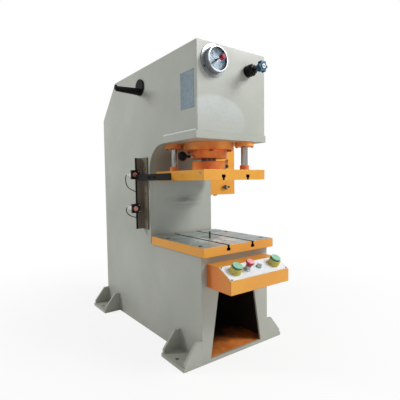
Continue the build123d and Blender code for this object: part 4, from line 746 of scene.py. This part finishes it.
def cap_skirt_painted_shade(tree, place, tone):
    """Darker green skirt under the pale top of a cap: a painted shadow line."""
    skirt = band(tree, above_slope(tree, place), 0.0435, 0.0450, 1.0, 0.0)
    return mixed(tree, skirt, tone, (0.02, 0.16, 0.12))


cap_green = moulded("palm_cap_green", (0.31, 0.60, 0.42), 0.40, 0.06, top=cap_skirt_painted_shade)
coat(cap_green, "palm_button_left", "palm_button_right")
for side, x in (("left", -0.142), ("right", 0.142)):
    rim = lathed(
        "palm_cap_lip_" + side,
        [(0.0255, 0.0), (0.0262, 0.0007), (0.0250, 0.0016), (0.0215, 0.0016), (0.0205, 0.0006)], 48,
    )
    cap_top = on_panel(x, DEVICE_ROW, 0.0459)
    settle(rim, cap_top, cap_green, "palm_button_" + side, "green_plastic")


# Stop button: a moulded red mushroom head on a chromed collar, its top painted paler as a highlight.
# Selector: a grey moulded grip on a collar of the same kind, with a black mark let into it.
def stop_top_painted_highlight(tree, place, tone):
    """Paler red on the top of the head: a painted highlight."""
    return mixed(tree, band(tree, above_slope(tree, place), 0.0555, 0.0590), tone, (0.88, 0.34, 0.36))


coat(moulded("stop_red", (0.42, 0.015, 0.035), 0.34, 0.08, top=stop_top_painted_highlight), "estop_head")
collar_chrome = metal(
    "switch_collar_chrome", (0.46, 0.47, 0.48), (0.26, 0.27, 0.28), 0.28, stain=0.4, mottle=80
)
coat(collar_chrome, "switch_collars")
coat(moulded("selector_grey", (0.60, 0.65, 0.66), 0.35), "selector_knob")
mark = cut_block("selector_mark", (0.015, 0.0016, 0.0005), 0.0002)
grip_turn = Matrix.Rotation(math.radians(-50), 4, "Z") @ Matrix.Translation((0.0035, 0, 0))
mark_place = on_panel(0.028, DEVICE_ROW, 0.0228) @ grip_turn
settle(mark, mark_place, black_oxide, "selector_knob", "black_plastic")


# Pressure gauge: a chromed panel case screwed to the head, a blue-white dial with printed ticks
# and plain numbers, a clear window, and a red setting knob on its spindle.
gauge_chrome = chromed("gauge_chrome", (0.36, 0.38, 0.40), (0.20, 0.21, 0.22), 0.34, 0.6)
coat(gauge_chrome, "gauge_case")
coat(moulded("dial_blue_white", (0.30, 0.35, 0.39), 0.5, 0.10, shine=0.2), "gauge_dial")
window, tree, shader, place = blank("gauge_window", 0.03)
shader.inputs["Base Color"].default_value = (0.93, 0.96, 1, 1)
shader.inputs["Transmission Weight"].default_value = 1.0
shader.inputs["IOR"].default_value = 1.12
scratch = band(tree, noise(tree, place, 320, 4.0, (1, 1, 7)), 0.62, 0.72, 0.02, 0.16)
tree.links.new(scratch, shader.inputs["Roughness"])
clear = add(tree, "BsdfTransparent").outputs[0]
shadow = add(tree, "LightPath").outputs["Is Shadow Ray"]
passing = add(tree, "MixShader", {0: shadow, 1: shader.outputs[0], 2: clear})
tree.links.new(passing.outputs[0], tree.nodes["Material Output"].inputs["Surface"])
coat(window, "gauge_glass")
black_ink = moulded("dial_black", (0.010, 0.010, 0.012), 0.5, scuffs=0.0, shine=0.08)
coat(black_ink, "gauge_pointer")


def knob_spindle(tree, place, tone):
    """Only the knob itself is red; its spindle is pale metal."""
    behind = band(tree, axis_of(tree, place, "Y"), -0.6842, -0.6838)
    return mixed(tree, behind, tone, (0.52, 0.57, 0.60))


knob_red = moulded(
    "setting_knob_red", (0.34, 0.008, 0.035), 0.26, 0.08, top=knob_spindle, shine=0.25
)
coat(knob_red, "gauge_knob")
DIAL_ZERO = 130
DIAL_SWEEP = 270
FINE_STEPS, LONG_STEPS = 30, 6
NUMBER_STEP = 5
gauge_face = facing("front", -0.136, HEAD_FACE, 1.607)
dial_face = gauge_face @ Matrix.Translation((0, 0, 0.0195))


def dial_ticks(name, size, radius, steps):
    """One tick is modelled at the zero mark and spun round the dial."""
    tick = cut_block(name, size, 0.0001)
    zero = Matrix.Rotation(math.radians(DIAL_ZERO), 4, "Z")
    tick.matrix_world = zero @ Matrix.Translation((0, radius, 0))
    bpy.ops.object.transform_apply(location=True, rotation=True, scale=True)
    bpy.ops.object.mode_set(mode="EDIT")
    bpy.ops.mesh.select_all(action="SELECT")
    bpy.ops.mesh.spin(
        steps=steps, dupli=True, angle=math.radians(-DIAL_SWEEP), center=(0, 0, 0), axis=(0, 0, 1)
    )
    bpy.ops.object.mode_set(mode="OBJECT")
    return tick


fine_ticks = dial_ticks("dial_ticks_fine", (0.0007, 0.0045, 0.0003), 0.0535, FINE_STEPS)
settle(fine_ticks, dial_face, black_ink, "frame", "black_steel")
long_ticks = dial_ticks("dial_ticks_long", (0.0014, 0.0085, 0.0003), 0.0515, LONG_STEPS)
settle(long_ticks, dial_face, black_ink, "frame", "black_steel")
numbers = []
for step in range(LONG_STEPS + 1):
    bpy.ops.object.select_all(action="DESELECT")
    bpy.ops.object.text_add(location=(0, 0, 0))
    figure = bpy.context.object
    figure.data.body = str(step * NUMBER_STEP)
    figure.data.size = 0.0135
    figure.data.extrude = 0.00015
    figure.data.align_x = "CENTER"
    figure.data.align_y = "CENTER"
    bpy.ops.object.convert(target="MESH")
    swing = math.radians(DIAL_ZERO - step * DIAL_SWEEP / LONG_STEPS + 90)
    figure.location = (0.0395 * math.cos(swing), 0.0395 * math.sin(swing), 0.0003)
    numbers.append(figure)
settle(joined("dial_numbers", numbers), dial_face, black_ink, "frame", "black_steel")
repeated(
    "gauge_flange_screws",
    [(0.0048, 0.0), (0.0048, 0.0012), (0.0038, 0.0026), (0.0020, 0.0028), (0.0018, 0.0012)], 20,
    [
        gauge_face @ Matrix.Translation((0.076 * math.cos(turn), 0.076 * math.sin(turn), 0.0040))
        for turn in (math.radians(90), math.radians(210), math.radians(330))
    ],
    black_oxide, "frame", "black_steel",
)

# Pressure-setting valve: blackened steel body and neck, and a blue lobed handwheel with a white
# cap that has a dark dot in its middle.
valve_black = metal(
    "valve_black", (0.022, 0.022, 0.024), (0.008, 0.008, 0.008), 0.30, stain=0.6, mottle=60
)
coat(valve_black, "valve_body")
wheel_blue = moulded("handwheel_blue", (0.008, 0.085, 0.17), 0.32, 0.12, scuffs=0.2, shine=0.3)
coat(wheel_blue, "valve_handwheel")


def out_on_valve(reach):
    """Place on the valve's axis, a distance out from the face of the head."""
    return facing("front", 0.112, HEAD_FACE - reach, 1.592)


cap = lathed(
    "handwheel_cap",
    [(0.0127, 0.0), (0.0127, 0.0008), (0.0118, 0.0016), (0.0052, 0.0016), (0.0048, 0.0004)], 36,
)
settle(cap, out_on_valve(0.1250), white_plate, "valve_handwheel", "white_panel")
dot = lathed(
    "handwheel_dot", [(0.0047, 0.0), (0.0047, 0.0008), (0.0036, 0.0014), (0.0012, 0.0016)], 24
)
settle(dot, out_on_valve(0.1253), black_ink, "valve_handwheel", "black_plastic")
nut = lathed(
    "valve_nut",
    [(0.0255, 0.0), (0.0262, 0.0010), (0.0262, 0.0080), (0.0245, 0.0092), (0.0182, 0.0092)], 6,
)
settle(nut, out_on_valve(0.0462), black_oxide, "frame", "black_steel", 0.0004, 20)


# Stroke sensors: cylindrical sensors in black clamp blocks on a black rail, carried by a rolled
# angle with brown-grey paint that is screwed to the left side. Their faces are copper coloured
# and their tails tinned. The rubber leads enter the frame through plated glands.
BROWN = ((0.20, 0.165, 0.125), (0.15, 0.125, 0.095), (0.07, 0.06, 0.05))
bracket_paint = enamel("bracket_brown", *BROWN, 0.55, 0.6, shine=0.2)
coat(bracket_paint, "sensor_bracket")
coat(black_paint, "sensor_rail")
clamp_black = moulded("clamp_black", (0.007, 0.007, 0.008), 0.42, scuffs=0.2, shine=0.14)
coat(clamp_black, "sensor_clamps")
barrel, tree, shader, place = blank("sensor_copper", 0.36, 0.35)
wear = band(tree, noise(tree, place, 120, 5.0), 0.42, 0.66)
tone = mixed(tree, wear, (0.62, 0.28, 0.20), (0.46, 0.16, 0.11))
tail = band(tree, axis_of(tree, place, "Y"), -0.013, -0.011)
tone = mixed(tree, tail, tone, (0.78, 0.78, 0.76))
tree.links.new(tone, shader.inputs["Base Color"])
coat(barrel, "sensor_barrels")
sensor_levels = (1.022, 0.806)
repeated(
    "clamp_screws",
    [(0.0040, 0.0), (0.0040, 0.0030), (0.0034, 0.0036), (0.0021, 0.0036), (0.0020, 0.0018)], 18,
    [facing("front", -0.2915, -0.036, z + off) for z in sensor_levels for off in (-0.020, 0.020)],
    zinc, "frame", "zinc_steel",
)
repeated(
    "sensor_nuts",
    [(0.0176, 0.0), (0.0184, 0.0008), (0.0184, 0.0042), (0.0176, 0.0050), (0.0152, 0.0050)], 6,
    [facing("back", -0.317, 0.030, z) for z in sensor_levels],
    zinc, "frame", "zinc_steel", 0.0003, 20,
)
coat(black_rubber, "sensor_leads")
coat(zinc, "cable_glands")
repeated(
    "bracket_screws",
    [(0.0090, 0.0), (0.0090, 0.0050), (0.0080, 0.0062), (0.0046, 0.0062), (0.0044, 0.0026)], 20,
    [facing("left", -SIDE_FACE - 0.008, -0.052, z) for z in (0.740, 0.900, 1.060)],
    bracket_paint, "frame", "black_steel",
)


# Electrical cabinet: folded sheet sprayed orange on the right side plate, its door on two
# hinges with a rubber gasket behind it, a quarter-turn latch and a red-balled lever.
coat(enamel("cabinet_orange", *ORANGE, 0.30, 0.7), "cabinet_box", "cabinet_door")
gasket = cut_block("cabinet_gasket", (0.218, 0.510, 0.0022), 0.0008)
gasket_faces = gasket.data.polygons
gasket_faces.foreach_set("select", [abs(face.normal.z) > 0.9 for face in gasket_faces])
bpy.ops.object.mode_set(mode="EDIT")
bpy.ops.mesh.select_mode(type="FACE")
bpy.ops.mesh.inset(thickness=0.004)
bpy.ops.mesh.bridge_edge_loops()
bpy.ops.object.mode_set(mode="OBJECT")
settle(gasket, facing("back", 0.3605, -0.0884, 1.135), black_rubber, "cabinet_door", "black_rubber")
coat(moulded("latch_black", (0.014, 0.014, 0.015), 0.28), "cabinet_latch")
centre = lathed(
    "latch_centre",
    [(0.0086, 0.0), (0.0086, 0.0012), (0.0076, 0.0022), (0.0040, 0.0022), (0.0036, 0.0006)], 28,
)
settle(centre, facing("front", 0.381, -0.1203, 0.929), gauge_chrome, "cabinet_latch", "chrome")


def red_ball(tree, place, tone):
    """The ball at the end of the dark lever is red."""
    ball = add(tree, "VectorMath", {0: place, 1: (0.396, -0.1115, 1.125)}, operation="DISTANCE")
    share = band(tree, ball.outputs["Value"], 0.0084, 0.0090, 1.0, 0.0)
    return mixed(tree, share, tone, (0.62, 0.012, 0.03))


coat(moulded("lever_dark_and_red", (0.035, 0.018, 0.016), 0.26, top=red_ball), "isolator_lever")

# Rear service cover: pressed sheet with rows of louvres, sprayed with the frame and held by
# pan-head screws round its edge.
coat(pebble_grey, "rear_cover")
edge_screws = [(x, z) for x in (-0.190, 0.190) for z in (0.250, 0.425, 0.600, 0.775, 0.950)]
edge_screws += [(x, z) for x in (-0.065, 0.065) for z in (0.250, 0.950)]
repeated(
    "cover_screws",
    [(0.0050, 0.0), (0.0050, 0.0010), (0.0042, 0.0026), (0.0022, 0.0030), (0.0020, 0.0014)], 18,
    [facing("back", x, 0.6385, z) for x, z in edge_screws],
    zinc, "frame", "zinc_steel",
)


# Power unit inside the frame: welded oil tank with its motor, gear pump, valve block and two
# bent pipes to the cylinder, all in dark machine grey and plated steel.
MACHINE = ((0.085, 0.10, 0.11), (0.06, 0.07, 0.08), (0.16, 0.15, 0.14))
machine_grey = enamel("machine_grey", *MACHINE, 0.42, 0.7, 0.3)
coat(machine_grey, "oil_tank", "motor_housing", "pump")
coat(zinc, "motor_shaft", "valve_manifold", "oil_pipes")
